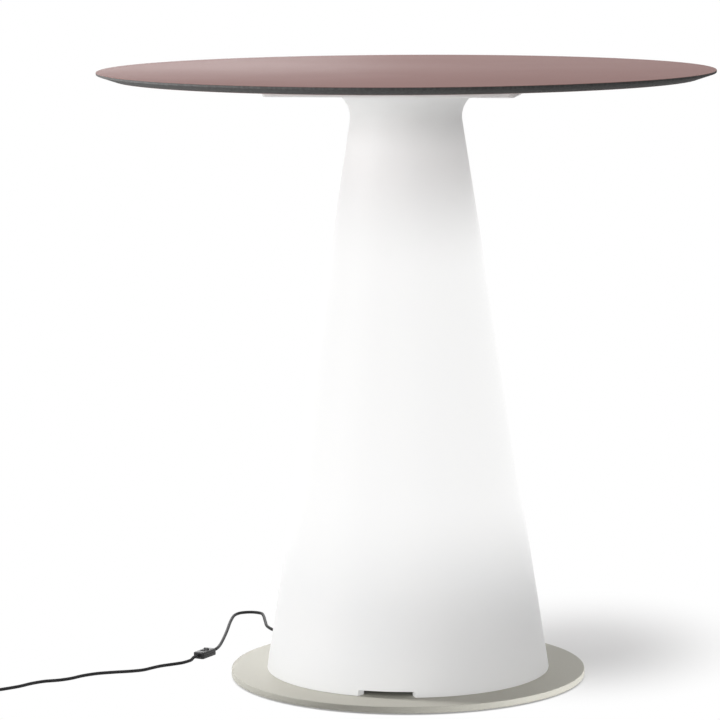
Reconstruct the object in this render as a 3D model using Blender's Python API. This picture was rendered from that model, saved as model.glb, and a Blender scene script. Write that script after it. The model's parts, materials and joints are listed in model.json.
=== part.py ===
"""Round cafe table on a moulded column that lights up from inside.

Metres, +Z up. The origin is on the floor, under the middle of the column. The notches in the foot of the
column face -Y (front) and +Y (rear, where the lead comes out).
"""
import math

import bmesh
import bpy
from mathutils import Matrix, Vector

# Clearances
seat_gap = 0.0003
overrun = 0.002

# Round table top, compact laminate
top_radius = 0.375
top_thickness = 0.010
top_edge_round = 0.0008
top_edge_land = 0.0030
top_bevel_run = 0.021

# Square steel plate between the column and the top
plate_side = 0.280
plate_thickness = 0.004
plate_corner = 0.010
plate_bore_radius = 0.050

# Moulded column with its square flange
column_height = 0.7231
column_wall = 0.005
foot_radius = 0.1744
neck_radius = 0.0680
flare_radius = 0.032
flare_bury = 0.0005
flange_side = 0.300
flange_thickness = 0.0105
flange_corner = 0.008
flange_edge_round = 0.0020

# Thick rim round the inside of the foot, and the splayed notches through it
rim_thickness = 0.013
rim_height = 0.016
rim_slant_height = 0.010
notch_width = 0.075
notch_inner_width = 0.065
notch_height = 0.0072
notch_corner = 0.0015

# Lugs inside the foot of the column
lug_count = 4
lug_circle_radius = 0.1520
lug_radius = 0.012
lug_height = 0.032

# Round steel base
disc_radius = 0.2185
disc_thickness = 0.008
disc_edge_round = 0.0010

# Pads under the base
pad_count = 4
pad_radius = 0.014
pad_thickness = 0.0017
pad_circle_radius = 0.190
pad_edge_round = 0.0003

# Fasteners of the table top, M6
top_screw_spacing = 0.240
top_screw_radius = 0.0030
top_screw_length = 0.0170
top_screw_head_radius = 0.0055
top_screw_head_height = 0.0034
top_screw_key = 0.0020
top_screw_sink = 0.0004
top_recess_clearance = 0.0010
washer_radius = 0.0090
washer_thickness = 0.0016
insert_wall = 0.0014
insert_length = 0.0070

# Fasteners of the base, M8
base_screw_radius = 0.0040
base_screw_length = 0.0240
base_screw_head_radius = 0.0078
base_screw_head_height = 0.0040
base_screw_key = 0.0025
lug_insert_wall = 0.0022
lug_insert_length = 0.0180

# Small screws of the lamp foot and the cord clamp, M4
small_screw_radius = 0.0020
small_screw_head_radius = 0.0038
small_screw_head_height = 0.0022
small_screw_key = 0.00125
small_screw_bite = 0.0060

# Lamp: slotted foot, post of four bars, light strips, and opal tube with a collar at each end
lamp_foot_radius = 0.055
lamp_foot_thickness = 0.008
lamp_foot_chamfer = 0.0015
lamp_screw_circle_radius = 0.043
post_sides = 4
post_side = 0.024
post_wall = 0.002
post_height = 0.5268
tube_radius = 0.028
tube_wall = 0.002
cap_thickness = 0.003
collar_height = 0.0055
cap_edge_round = 0.0008
board_width = 0.016
board_length = 0.350
board_thickness = 0.0016
board_top_inset = 0.012
lights_per_board = 8
light_side = 0.0050
light_height = 0.0010

# Lead
cord_diameter = 0.0040
relief_radius = 0.0032
relief_tip_radius = 0.0024
relief_root_length = 0.020
relief_taper_length = 0.038
relief_groove_count = 4
relief_groove_depth = 0.0005
relief_inset = 0.034
cord_slot_width = 0.0050
inner_bend_radius = 0.0060

# Cord clamp
clamp_width = 0.008
clamp_thickness = 0.0012
clamp_foot_length = 0.0095
clamp_from_wall = 0.024

# In-line switch
switch_length = 0.0325
switch_width = 0.0150
switch_base_height = 0.0042
switch_cover_height = 0.0036
switch_crown = 0.0006
switch_corner = 0.0026
switch_edge_round = 0.0009
switch_wall = 0.0013
switch_floor = 0.0012
rocker_length = 0.0116
rocker_width = 0.0066
rocker_end_height = 0.0036
rocker_dip_height = 0.0022
rocker_depth = 0.0012
rocker_pivot_height = 0.0066
rocker_clearance = 0.0004
rocker_tilt = math.radians(9.0)
trunnion_radius = 0.0008
trunnion_length = 0.0011
switch_screw_radius = 0.0011
switch_screw_head_radius = 0.0021
switch_screw_head_height = 0.0012
switch_screw_length = 0.0055
switch_screw_key = 0.0008
switch_screw_inset = 0.0050

# Coil of put-away lead
coil_mean_radius = 0.024
coil_pitch = 0.0045
coil_turns_in = 3.0
coil_turns_climbing = 0.5
coil_turns_out = 2.75
coil_points_per_turn = 24
coil_exit_straight = 0.0140
tie_thickness = 0.0008
tie_width = 0.0060
tie_clearance = 0.0005
tie_corner = 0.0016

# Plug-in supply at the end of the lead
adapter_length = 0.060
adapter_width = 0.040
adapter_height = 0.027
adapter_corner = 0.005
adapter_edge_round = 0.0025
adapter_face_length = 0.012
adapter_boss_length = 0.0190
adapter_boss_radius = 0.0048
adapter_boss_tip_radius = 0.0030
pin_radius = 0.0020
pin_length = 0.019
pin_root = 0.006
pin_spacing = 0.0186
pin_tip_round = 0.0008
pin_sleeve_radius = 0.0018
pin_sleeve_length = 0.010

# Facets
crease_angle = math.radians(35)
top_segments = 80
column_segments = 64
flare_steps = 7
disc_segments = 64
screw_segments = 12
hole_segments = 12
small_segments = 12
pad_segments = 16
tube_segments = 32
lug_steps = 6
corner_steps = 3
round_steps = 2
crown_steps = 2
arch_steps = 8
slot_steps = 4
rocker_steps = 4
bend_steps = 4
spline_samples = 12
cord_sides = 2
coil_sides = 1

# Route of the lead on the floor, as (x, y, height of the underside above the floor)
lead_route = [
    (-0.0030, 0.2420, 0.0056),
    (-0.0150, 0.2610, 0.0014),
    (-0.0400, 0.2730, 0.0000),
    (-0.0760, 0.2690, 0.0000),
    (-0.1120, 0.2490, 0.0000),
    (-0.1480, 0.2250, 0.0000),
    (-0.1800, 0.2120, 0.0000),
    (-0.2050, 0.2150, 0.0000),
    (-0.2220, 0.2380, 0.0000),
    (-0.2325, 0.2740, 0.0000),
    (-0.2415, 0.3080, 0.0000),
    (-0.2471, 0.3214, 0.0000),
    (-0.2605, 0.3272, 0.0000),
    (-0.2739, 0.3214, 0.0000),
    (-0.2795, 0.3080, 0.0000),
    (-0.2780, 0.2700, 0.0000),
    (-0.2715, 0.2150, 0.0000),
    (-0.2660, 0.1640, 0.0000),
    (-0.2625, 0.1230, 0.0000),
]
tail_route = [
    (-0.2812, 0.0280, 0.0000),
    (-0.2885, 0.0130, 0.0000),
    (-0.3000, 0.0020, 0.0000),
    (-0.3115, -0.0085, 0.0000),
    (-0.3200, -0.0205, 0.0000),
    (-0.3285, -0.0335, 0.0000),
    (-0.3430, -0.0430, 0.0000),
    (-0.3610, -0.0505, 0.0000),
    (-0.3810, -0.0610, 0.0000),
    (-0.3960, -0.0755, 0.0000),
    (-0.4065, -0.0915, 0.0000),
    (-0.4190, -0.1030, 0.0000),
    (-0.4350, -0.1115, 0.0000),
    (-0.4480, -0.1250, 0.0000),
    (-0.4585, -0.1420, 0.0000),
    (-0.4740, -0.1590, 0.0000),
]
switch_place = (-0.2699, 0.0609)
switch_heading = math.radians(70.5)
coil_entry = (-0.5050, -0.1910)
coil_entry_heading = math.radians(-136.0)
lead_points = 54
tail_points = 26
end_straight_diameters = 2.5
gap_test_diameters = 3.0
tie_angle = math.radians(135.0)

# Heights of the stack, from the floor up
disc_bottom = pad_thickness + seat_gap
disc_top = disc_bottom + disc_thickness
column_bottom = disc_top + seat_gap
column_top = column_bottom + column_height
flange_underside = column_top - flange_thickness
plate_bottom = column_top + seat_gap
plate_top = plate_bottom + plate_thickness
top_underside = plate_top + seat_gap
top_surface = top_underside + top_thickness
top_recess_depth = top_screw_sink + top_screw_head_height + washer_thickness + 2 * seat_gap
top_recess_ceiling = flange_underside + top_recess_depth

# Heights and places inside the column
lamp_base = disc_top + seat_gap
lamp_flange_top = lamp_base + lamp_foot_thickness
post_bottom = lamp_flange_top + seat_gap
post_top = post_bottom + post_height
tube_bore_radius = tube_radius - tube_wall
post_inner_side = post_side - 2 * post_wall
relief_axis_height = disc_top + seat_gap + relief_radius
relief_root_y = foot_radius - relief_inset
relief_tip_y = relief_root_y + relief_root_length + relief_taper_length
cord_radius = cord_diameter / 2

# Flare of the column: the circle that the cone runs into, below the flange
flare_centre_radius = neck_radius + flare_radius
flare_centre_height = flange_underside + flare_bury - flare_radius

# Shapes of the fasteners, as shares of their own sizes
key_sides = 6
head_crown_share = 0.62
head_rim_share = 0.45
key_depth_share = 0.60
countersink_rim_share = 0.12
dip_shares = (0.0, 0.35, 0.7, 1.0)


def clear_scene():
    for thing in list(bpy.data.objects):
        bpy.data.objects.remove(thing, do_unlink=True)


def finish(name, colour, roughness, metallic=0.0):
    """A Principled material in the part's own colour."""
    material = bpy.data.materials.new(name)
    material.use_nodes = True
    shader = material.node_tree.nodes["Principled BSDF"]
    shader.inputs["Base Color"].default_value = (*colour, 1.0)
    shader.inputs["Roughness"].default_value = roughness
    shader.inputs["Metallic"].default_value = metallic
    material.diffuse_color = (*colour, 1.0)
    return material


def add_object(name, mesh, material=None, parent=None):
    thing = bpy.data.objects.new(name, mesh)
    if material is not None and not mesh.materials:
        mesh.materials.append(material)
    thing.parent = parent
    bpy.context.scene.collection.objects.link(thing)
    return thing


def as_cutter(thing):
    thing.hide_render = True
    thing.display_type = "WIRE"
    return thing


def mesh_from_rings(name, rings, closed=False, smooth=True):
    """A closed skin over rings of points. One point makes a pole; closed joins last to first."""
    shape = bmesh.new()
    corners = [[shape.verts.new(point) for point in ring] for ring in rings]
    pairs = list(zip(corners, corners[1:]))
    if closed:
        pairs.append((corners[-1], corners[0]))
    for low, high in pairs:
        count = max(len(low), len(high))
        for k in range(count):
            after = (k + 1) % count
            around = [low[k % len(low)], low[after % len(low)], high[after % len(high)], high[k % len(high)]]
            face = [corner for i, corner in enumerate(around) if corner not in around[:i]]
            shape.faces.new(face)
    if not closed:
        for ring in (corners[0], corners[-1]):
            if len(ring) > 1:
                shape.faces.new(ring)
    bmesh.ops.recalc_face_normals(shape, faces=shape.faces)
    mesh = bpy.data.meshes.new(name)
    shape.to_mesh(mesh)
    shape.free()
    if smooth:
        mesh.shade_smooth()
        mesh.set_sharp_from_angle(angle=crease_angle)
    return mesh


def circle(radius, height, count, centre=(0.0, 0.0)):
    if radius == 0:
        return [Vector((centre[0], centre[1], height))]
    turns = [math.tau * k / count for k in range(count)]
    return [
        Vector((centre[0] + radius * math.cos(a), centre[1] + radius * math.sin(a), height))
        for a in turns
    ]


def even_polygon(sides, apothem, height, count):
    """A many-sided outline with as many points as the round rings beside it, one side facing +X."""
    sector = math.tau / sides
    points = []
    for k in range(count):
        angle = math.tau * k / count
        off_flat = (angle + sector / 2) % sector - sector / 2
        reach = apothem / math.cos(off_flat)
        points.append(Vector((reach * math.cos(angle), reach * math.sin(angle), height)))
    return points


def rounded_rectangle(width, depth, corner, height=0.0):
    """Outline of a rectangle with round corners, anticlockwise, in a level plane."""
    points = []
    for quarter in range(4):
        side_x = 1 if quarter in (0, 3) else -1
        side_y = 1 if quarter in (0, 1) else -1
        centre_x = side_x * (width / 2 - corner)
        centre_y = side_y * (depth / 2 - corner)
        for k in range(corner_steps + 1):
            angle = math.tau / 4 * (quarter + k / corner_steps)
            points.append(
                Vector((centre_x + corner * math.cos(angle), centre_y + corner * math.sin(angle), height))
            )
    return points


def turned(name, profile, count, closed=False):
    """Mesh of a turned piece: the profile is a list of (radius, height)."""
    return mesh_from_rings(name, [circle(radius, height, count) for radius, height in profile], closed)


def plate_rings(width, depth, corner, low, high, edge_round=0.0, steps=2):
    """Rings of a flat block with round corners and, where asked, rounded top and bottom edges."""
    if edge_round == 0:
        return [rounded_rectangle(width, depth, corner, z) for z in (low, high)]
    rings = []
    for k in range(steps + 1):
        angle = math.tau / 4 * k / steps
        draw_in = edge_round * (1 - math.sin(angle))
        height = low + edge_round * (1 - math.cos(angle))
        rings.append((draw_in, height))
    rings += [(draw_in, low + high - height) for draw_in, height in reversed(rings)]
    return [
        rounded_rectangle(width - 2 * draw_in, depth - 2 * draw_in, corner - draw_in, height)
        for draw_in, height in rings
    ]


def boolean(target, other, operation="DIFFERENCE"):
    modifier = target.modifiers.new(other.name, "BOOLEAN")
    modifier.operation = operation
    modifier.solver = "EXACT"
    modifier.object = as_cutter(other)


def bore(target, places, radius, low, high, count=None):
    """Round holes with upright axes, one at each place."""
    shape = bmesh.new()
    for place in places:
        bmesh.ops.create_cone(
            shape,
            cap_ends=True,
            segments=count or hole_segments,
            radius1=radius,
            radius2=radius,
            depth=high - low,
            matrix=Matrix.Translation((place[0], place[1], (low + high) / 2)),
        )
    mesh = bpy.data.meshes.new(target.name + "_bores")
    shape.to_mesh(mesh)
    shape.free()
    boolean(target, add_object(f"{target.name}_bores_{len(target.modifiers)}", mesh, parent=target.parent))


def places_on_circle(count, radius, first_angle):
    angles = [first_angle + math.tau * k / count for k in range(count)]
    return [(radius * math.cos(a), radius * math.sin(a)) for a in angles]


def box_mesh(name, low, high):
    """An upright box between two corners."""
    shape = bmesh.new()
    size = Vector(high) - Vector(low)
    middle = (Vector(high) + Vector(low)) / 2
    bmesh.ops.create_cube(shape, size=1, matrix=Matrix.Translation(middle) @ Matrix.Diagonal((*size, 1)))
    mesh = bpy.data.meshes.new(name)
    shape.to_mesh(mesh)
    shape.free()
    return mesh


def screw_mesh(name, shank, length, head, head_height, key, countersunk=False):
    """A socket screw that points down, its bearing face or flush face at zero."""
    count = screw_segments
    key_depth = head_height * key_depth_share
    if countersunk:
        top = 0.0
        head_rings = [
            circle(head, 0.0, count),
            circle(head, -head_height * countersink_rim_share, count),
            circle(shank, -head_height, count),
        ]
    else:
        top = head_height
        head_rings = [
            circle(head * head_crown_share, top, count),
            circle(head, head_height * head_rim_share, count),
            circle(head, 0.0, count),
            circle(shank, 0.0, count),
        ]
    socket = [
        circle(0, top - key_depth, count),
        even_polygon(key_sides, key, top - key_depth, count),
        even_polygon(key_sides, key, top, count),
    ]
    return mesh_from_rings(name, [*socket, *head_rings, circle(shank, -length, count)])


def ring_mesh(name, outer, inner, low, high, count):
    """A plain ring or tube with a square section."""
    profile = [(outer, low), (outer, high), (inner, high), (inner, low)]
    return turned(name, profile, count, closed=True)


# Table top and the plate under it


def make_tabletop(material):
    edge = [(0, top_surface)]
    for k in range(round_steps + 1):
        angle = math.tau / 4 * k / round_steps
        edge.append(
            (
                top_radius - top_edge_round * (1 - math.sin(angle)),
                top_surface - top_edge_round * (1 - math.cos(angle)),
            )
        )
    edge += [
        (top_radius, top_surface - top_edge_land),
        (top_radius - top_bevel_run, top_underside),
        (0, top_underside),
    ]
    top = add_object("tabletop", turned("tabletop", edge, top_segments), material)
    bore(
        top,
        top_screw_places(),
        insert_outer_radius() + seat_gap,
        top_underside - overrun,
        top_underside + insert_length + seat_gap,
    )
    return top


def top_screw_places():
    reach = top_screw_spacing / 2
    return [(x, y) for x in (-reach, reach) for y in (-reach, reach)]


def insert_outer_radius():
    return top_screw_radius + seat_gap + insert_wall


def make_top_plate(material):
    rings = plate_rings(plate_side, plate_side, plate_corner, plate_bottom, plate_top)
    plate = add_object("top_plate", mesh_from_rings("top_plate", rings), material)
    low, high = plate_bottom - overrun, plate_top + overrun
    bore(plate, top_screw_places(), top_screw_radius + seat_gap, low, high)
    bore(plate, [(0, 0)], plate_bore_radius, low, high, tube_segments)
    return plate


def make_top_fasteners(steel, brass):
    washer_bottom = top_recess_ceiling - seat_gap - washer_thickness
    bore_radius = top_screw_radius + seat_gap
    screw = screw_mesh(
        "tabletop_screw",
        top_screw_radius,
        top_screw_length,
        top_screw_head_radius,
        top_screw_head_height,
        top_screw_key,
    )
    washer = ring_mesh("tabletop_washer", washer_radius, bore_radius, 0.0, washer_thickness, small_segments)
    insert = ring_mesh(
        "tabletop_insert", insert_outer_radius(), bore_radius, 0.0, insert_length, small_segments
    )
    for number, (x, y) in enumerate(top_screw_places(), 1):
        placed = add_object(f"tabletop_screw_{number}", screw, steel)
        placed.location = (x, y, washer_bottom - seat_gap)
        placed.rotation_euler = (math.pi, 0, 0)
        add_object(f"tabletop_washer_{number}", washer, steel).location = (x, y, washer_bottom)
        add_object(f"tabletop_insert_{number}", insert, brass).location = (x, y, top_underside)


# Moulded column


def column_profile(inset):
    """The foot point, slope and flare arc of the column wall, at a depth of inset below the outer skin."""
    across = flare_centre_radius - foot_radius
    up = flare_centre_height - column_bottom
    bearing = math.atan2(up, across) + math.asin(flare_radius / math.hypot(across, up))
    first = bearing + math.tau / 4
    foot = (foot_radius + inset * math.cos(first), column_bottom + inset * math.sin(first))
    reach = flare_radius + inset
    arc = []
    for k in range(flare_steps + 1):
        angle = first + (math.tau / 4 - first) * k / flare_steps
        height = flare_centre_height + reach * math.sin(angle)
        arc.append((flare_centre_radius + reach * math.cos(angle), height))
    slope = (math.cos(bearing), math.sin(bearing))
    return foot, slope, arc


def make_column(material):
    foot, arc = column_profile(0.0)[::2]
    flange_middle = (flange_underside + column_top) / 2
    outside = [(0, column_bottom), foot, *arc, (flare_centre_radius, flange_middle), (0, flange_middle)]
    column = add_object("column_shell", turned("column_shell", outside, column_segments), material)
    flange = plate_rings(
        flange_side,
        flange_side,
        flange_corner,
        flange_underside,
        column_top,
        flange_edge_round,
    )
    boolean(column, add_object("column_flange", mesh_from_rings("column_flange", flange)), "UNION")
    boolean(column, column_cavity())
    boolean(column, foot_notches())
    bore(
        column,
        lug_places(),
        lug_insert_outer_radius() + seat_gap,
        column_bottom - overrun,
        column_bottom + lug_insert_length + seat_gap,
    )
    bore(
        column,
        top_screw_places(),
        top_screw_radius + seat_gap,
        flange_underside - overrun,
        column_top + overrun,
    )
    bore(
        column,
        top_screw_places(),
        washer_radius + top_recess_clearance,
        flange_underside - overrun,
        top_recess_ceiling,
    )
    return column


def column_cavity():
    """The hollow of the column, less the four lugs that stay standing inside its foot."""
    foot, slope, arc = column_profile(column_wall)
    below = column_bottom - overrun
    rim_radius = foot_radius - rim_thickness
    rim_top = column_bottom + rim_height
    up_the_wall = (rim_top + rim_slant_height - foot[1]) / slope[1]
    wall_start = (foot[0] + up_the_wall * slope[0], rim_top + rim_slant_height)
    inside = [(0, below), (rim_radius, below), (rim_radius, rim_top), wall_start, *arc, (0, arc[-1][1])]
    cavity = add_object("column_cavity", turned("column_cavity", inside, column_segments))
    low, high = below - overrun, column_bottom + lug_height
    for number, angle in enumerate(lug_angles(), 1):
        mesh = mesh_from_rings("column_lug", [lug_outline(z) for z in (low, high)])
        lug = add_object(f"column_lug_{number}", mesh)
        lug.rotation_euler = (0, 0, angle)
        boolean(cavity, lug)
    return cavity


def lug_outline(height):
    """Half-round towards the axis, straight out to past the wall."""
    points = []
    for k in range(lug_steps + 1):
        angle = math.tau / 4 + math.pi * k / lug_steps
        points.append(
            Vector((lug_circle_radius + lug_radius * math.cos(angle), lug_radius * math.sin(angle), height))
        )
    outer = foot_radius + overrun
    return [Vector((outer, lug_radius, height)), *points, Vector((outer, -lug_radius, height))]


def lug_angles():
    return [math.tau / lug_count * (k + 1 / 2) for k in range(lug_count)]


def lug_places():
    return places_on_circle(lug_count, lug_circle_radius, lug_angles()[0])


def lug_insert_outer_radius():
    return base_screw_radius + seat_gap + lug_insert_wall


def foot_notches():
    """One long cutter through the foot, splayed at both rims, with rounded upper corners."""
    rim_radius = foot_radius - rim_thickness
    outer = foot_radius + overrun
    splay = (notch_width - notch_inner_width) / rim_thickness
    outer_width = notch_width + splay * overrun
    stations = [(rim_radius, notch_inner_width), (outer, outer_width)]
    rings = []
    for y, width in [(-y, width) for y, width in reversed(stations)] + stations:
        outline = rounded_rectangle(width, 2 * notch_height, notch_corner)
        rings.append([Vector((point.x, y, point.y + column_bottom)) for point in outline])
    return add_object("foot_notches", mesh_from_rings("foot_notches", rings))


# Steel base with its pads and screws


def make_base_disc(material):
    profile = [(0, disc_bottom), (disc_radius - disc_edge_round, disc_bottom)]
    profile += [(disc_radius, disc_bottom + disc_edge_round), (disc_radius, disc_top - disc_edge_round)]
    profile += [(disc_radius - disc_edge_round, disc_top), (0, disc_top)]
    disc = add_object("base_disc", turned("base_disc", profile, disc_segments), material)
    head = base_screw_head_radius + seat_gap
    shank = base_screw_radius + seat_gap
    sink_top = disc_bottom + seat_gap + base_screw_head_height
    rim = disc_bottom + seat_gap + base_screw_head_height * countersink_rim_share
    well = [(0, disc_bottom - overrun), (head, disc_bottom - overrun), (head, rim), (shank, sink_top)]
    well += [(shank, disc_top + overrun), (0, disc_top + overrun)]
    for number, (x, y) in enumerate(lug_places(), 1):
        cutter = add_object(f"base_well_{number}", turned("base_well", well, screw_segments))
        cutter.location = (x, y, 0)
        boolean(disc, cutter)
    bite = disc_top - small_screw_bite - seat_gap
    places = lamp_screw_places() + clamp_screw_places()
    bore(disc, places, small_screw_radius + seat_gap, bite, disc_top + overrun, small_segments)
    return disc


def make_base_screws(steel, brass):
    screw = screw_mesh(
        "base_screw",
        base_screw_radius,
        base_screw_length,
        base_screw_head_radius,
        base_screw_head_height,
        base_screw_key,
        countersunk=True,
    )
    insert = ring_mesh(
        "column_insert",
        lug_insert_outer_radius(),
        base_screw_radius + seat_gap,
        0.0,
        lug_insert_length,
        small_segments,
    )
    for number, (x, y) in enumerate(lug_places(), 1):
        placed = add_object(f"base_screw_{number}", screw, steel)
        placed.location = (x, y, disc_bottom + seat_gap)
        placed.rotation_euler = (math.pi, 0, 0)
        add_object(f"column_insert_{number}", insert, brass).location = (x, y, column_bottom)


def make_pads(material):
    profile = [(0, 0), (pad_radius - pad_edge_round, 0), (pad_radius, pad_edge_round)]
    profile += [(pad_radius, pad_thickness), (0, pad_thickness)]
    pad = turned("floor_pad", profile, pad_segments)
    for number, (x, y) in enumerate(places_on_circle(pad_count, pad_circle_radius, 0.0), 1):
        add_object(f"floor_pad_{number}", pad, material).location = (x, y, 0)


# Lamp inside the column


def lamp_screw_places():
    return [(-lamp_screw_circle_radius, 0.0), (lamp_screw_circle_radius, 0.0)]


def make_lamp_foot(material):
    """Flange with a square hole under the post and a slot that the lead is laid in from the rear."""
    profile = [(0, lamp_base), (lamp_foot_radius, lamp_base)]
    profile += [(lamp_foot_radius, lamp_flange_top - lamp_foot_chamfer)]
    profile += [(lamp_foot_radius - lamp_foot_chamfer, lamp_flange_top), (0, lamp_flange_top)]
    foot = add_object("lamp_foot", turned("lamp_foot", profile, tube_segments), material)
    low, high = lamp_base - overrun, lamp_flange_top + overrun
    half_hole, half_slot = post_inner_side / 2, cord_slot_width / 2
    hole = box_mesh("lamp_foot_hole", (-half_hole, -half_hole, low), (half_hole, half_hole, high))
    boolean(foot, add_object("lamp_foot_hole", hole))
    slot = box_mesh("lamp_foot_slot", (-half_slot, 0, low), (half_slot, lamp_foot_radius + overrun, high))
    boolean(foot, add_object("lamp_foot_slot", slot))
    bore(foot, lamp_screw_places(), small_screw_radius + seat_gap, low, high, small_segments)
    return foot


def make_lamp_post(material):
    """Four flat bars that close a hollow square: front and rear at full width, two between them."""
    half = post_side / 2
    inner = post_inner_side / 2
    between = inner - seat_gap
    plans = {
        "lamp_bar_front": ((-half, -half), (half, -inner)),
        "lamp_bar_rear": ((-half, inner), (half, half)),
        "lamp_bar_left": ((-half, -between), (-inner, between)),
        "lamp_bar_right": ((inner, -between), (half, between)),
    }
    for name, (low, high) in plans.items():
        add_object(name, box_mesh(name, (*low, post_bottom), (*high, post_top)), material)


def make_tube_and_cap(opal, white):
    """Opal tube, centred on the post by one collar on the lamp's foot and one under its cap."""
    tube_low = lamp_flange_top + seat_gap
    tube = ring_mesh("diffuser_tube", tube_radius, tube_bore_radius, tube_low, post_top, tube_segments)
    add_object("diffuser_tube", tube, opal)
    cap_low = post_top + seat_gap
    cap_top = cap_low + cap_thickness
    profile = [(0, cap_low), (tube_radius, cap_low), (tube_radius, cap_top - cap_edge_round)]
    profile += [(tube_radius - cap_edge_round, cap_top), (0, cap_top)]
    add_object("diffuser_cap", turned("diffuser_cap", profile, tube_segments), white)
    for number, low in enumerate((tube_low, post_top - collar_height), 1):
        high = low + collar_height
        outside = [circle(tube_bore_radius - seat_gap, height, tube_segments) for height in (low, high)]
        reach = post_side / 2 + seat_gap
        inside = [even_polygon(post_sides, reach, height, tube_segments) for height in (high, low)]
        mesh = mesh_from_rings("tube_collar", outside + inside, closed=True)
        add_object(f"tube_collar_{number}", mesh, white)


def make_led_boards(material):
    """Four narrow circuit boards on the faces of the post, each with a row of raised light packages."""
    pitch = board_length / lights_per_board
    columns = [-board_width / 2, -light_side / 2, light_side / 2, board_width / 2]
    rows = [0.0]
    for k in range(lights_per_board):
        middle = pitch * (k + 1 / 2)
        rows += [middle - light_side / 2, middle + light_side / 2]
    rows.append(board_length)
    shape = bmesh.new()
    left, right = columns[0], columns[-1]
    outline = [(left, 0), (right, 0), (right, board_length), (left, board_length)]
    back = [shape.verts.new((0, y, z)) for y, z in outline]
    front = [[shape.verts.new((board_thickness, y, z)) for y in columns] for z in rows]
    lights = []
    for i in range(len(rows) - 1):
        for j in range(len(columns) - 1):
            corners = (front[i][j], front[i][j + 1], front[i + 1][j + 1], front[i + 1][j])
            face = shape.faces.new(corners)
            if i % 2 == 1 and j == 1:
                lights.append(face)
    shape.faces.new(back)
    shape.faces.new([back[0], back[1], *reversed(front[0])])
    shape.faces.new([back[3], back[2], *reversed(front[-1])])
    shape.faces.new([back[0], back[3], *(row[0] for row in reversed(front))])
    shape.faces.new([back[1], back[2], *(row[-1] for row in reversed(front))])
    raised = bmesh.ops.extrude_discrete_faces(shape, faces=lights)["faces"]
    bmesh.ops.translate(
        shape, vec=(light_height, 0, 0), verts=list({corner for face in raised for corner in face.verts})
    )
    bmesh.ops.recalc_face_normals(shape, faces=shape.faces)
    mesh = bpy.data.meshes.new("led_board")
    shape.to_mesh(mesh)
    shape.free()
    low = post_top - collar_height - board_top_inset - board_length
    for number in range(4):
        board = add_object(f"led_board_{number + 1}", mesh, material)
        angle = math.tau / 4 * number
        reach = post_side / 2 + seat_gap
        board.location = (reach * math.cos(angle), reach * math.sin(angle), low)
        board.rotation_euler = (0, 0, angle)


def make_lamp_screws(steel):
    length = lamp_foot_thickness + seat_gap + small_screw_bite
    screw = small_screw_mesh("lamp_foot_screw", length)
    for number, (x, y) in enumerate(lamp_screw_places(), 1):
        placed = add_object(f"lamp_foot_screw_{number}", screw, steel)
        placed.location = (x, y, lamp_flange_top + seat_gap)


def small_screw_mesh(name, length):
    return screw_mesh(
        name,
        small_screw_radius,
        length,
        small_screw_head_radius,
        small_screw_head_height,
        small_screw_key,
    )


# Lead where it enters the column


def clamp_screw_places():
    reach = relief_radius + seat_gap + clamp_thickness + clamp_foot_length / 2
    return [(-reach, clamp_y()), (reach, clamp_y())]


def clamp_y():
    return foot_radius - clamp_from_wall


def make_strain_relief(material):
    """Tapered sleeve round the lead, with flexing grooves towards its tip."""
    profile = [(0, 0), (relief_radius, 0), (relief_radius, relief_root_length)]
    step = relief_taper_length / (2 * relief_groove_count + 1)
    fall = (relief_radius - relief_tip_radius) / relief_taper_length
    for k in range(relief_groove_count):
        for edge, depth in ((1, 0.0), (1, relief_groove_depth), (2, relief_groove_depth), (2, 0.0)):
            along = step * (2 * k + edge)
            profile.append((relief_radius - fall * along - depth, relief_root_length + along))
    end = relief_root_length + relief_taper_length
    profile += [(relief_tip_radius, end), (0, end)]
    relief = add_object("strain_relief", turned("strain_relief", profile, small_segments), material)
    relief.location = (0, relief_root_y, relief_axis_height)
    relief.rotation_euler = (-math.tau / 4, 0, 0)


def make_clamp(metal, steel):
    """Saddle clamp bent over the root of the strain relief and screwed to the base."""
    inner = relief_radius + seat_gap
    outer = inner + clamp_thickness
    foot = disc_top + seat_gap
    reach = outer + clamp_foot_length
    outline = [(reach, foot + clamp_thickness), (reach, foot), (inner, foot)]
    for k in range(arch_steps + 1):
        angle = math.pi * k / arch_steps
        outline.append((inner * math.cos(angle), relief_axis_height + inner * math.sin(angle)))
    outline += [(-inner, foot), (-reach, foot)]
    outline += [(-reach, foot + clamp_thickness), (-outer, foot + clamp_thickness)]
    for k in range(arch_steps + 1):
        angle = math.pi * (1 - k / arch_steps)
        outline.append((outer * math.cos(angle), relief_axis_height + outer * math.sin(angle)))
    outline.append((outer, foot + clamp_thickness))
    rings = [[Vector((x, y, z)) for x, z in outline] for y in (-clamp_width / 2, clamp_width / 2)]
    clamp = add_object("cord_clamp", mesh_from_rings("cord_clamp", rings), metal)
    clamp.location = (0, clamp_y(), 0)
    low, high = foot - overrun, foot + clamp_thickness + overrun
    bore(clamp, clamp_screw_places(), small_screw_radius + seat_gap, low, high, small_segments)
    screw = small_screw_mesh("clamp_screw", clamp_thickness + seat_gap + small_screw_bite)
    for number, (x, y) in enumerate(clamp_screw_places(), 1):
        placed = add_object(f"clamp_screw_{number}", screw, steel)
        placed.location = (x, y, foot + clamp_thickness + seat_gap)


def tube_along(name, points, material, sides):
    """A round lead along a line of points."""
    curve = bpy.data.curves.new(name, "CURVE")
    curve.dimensions = "3D"
    curve.bevel_depth = cord_radius
    curve.bevel_resolution = sides
    curve.use_fill_caps = True
    spline = curve.splines.new("POLY")
    spline.points.add(len(points) - 1)
    for slot, point in zip(spline.points, points):
        slot.co = (*point, 1.0)
    curve.materials.append(material)
    thing = bpy.data.objects.new(name, curve)
    bpy.context.scene.collection.objects.link(thing)
    return thing


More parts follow.
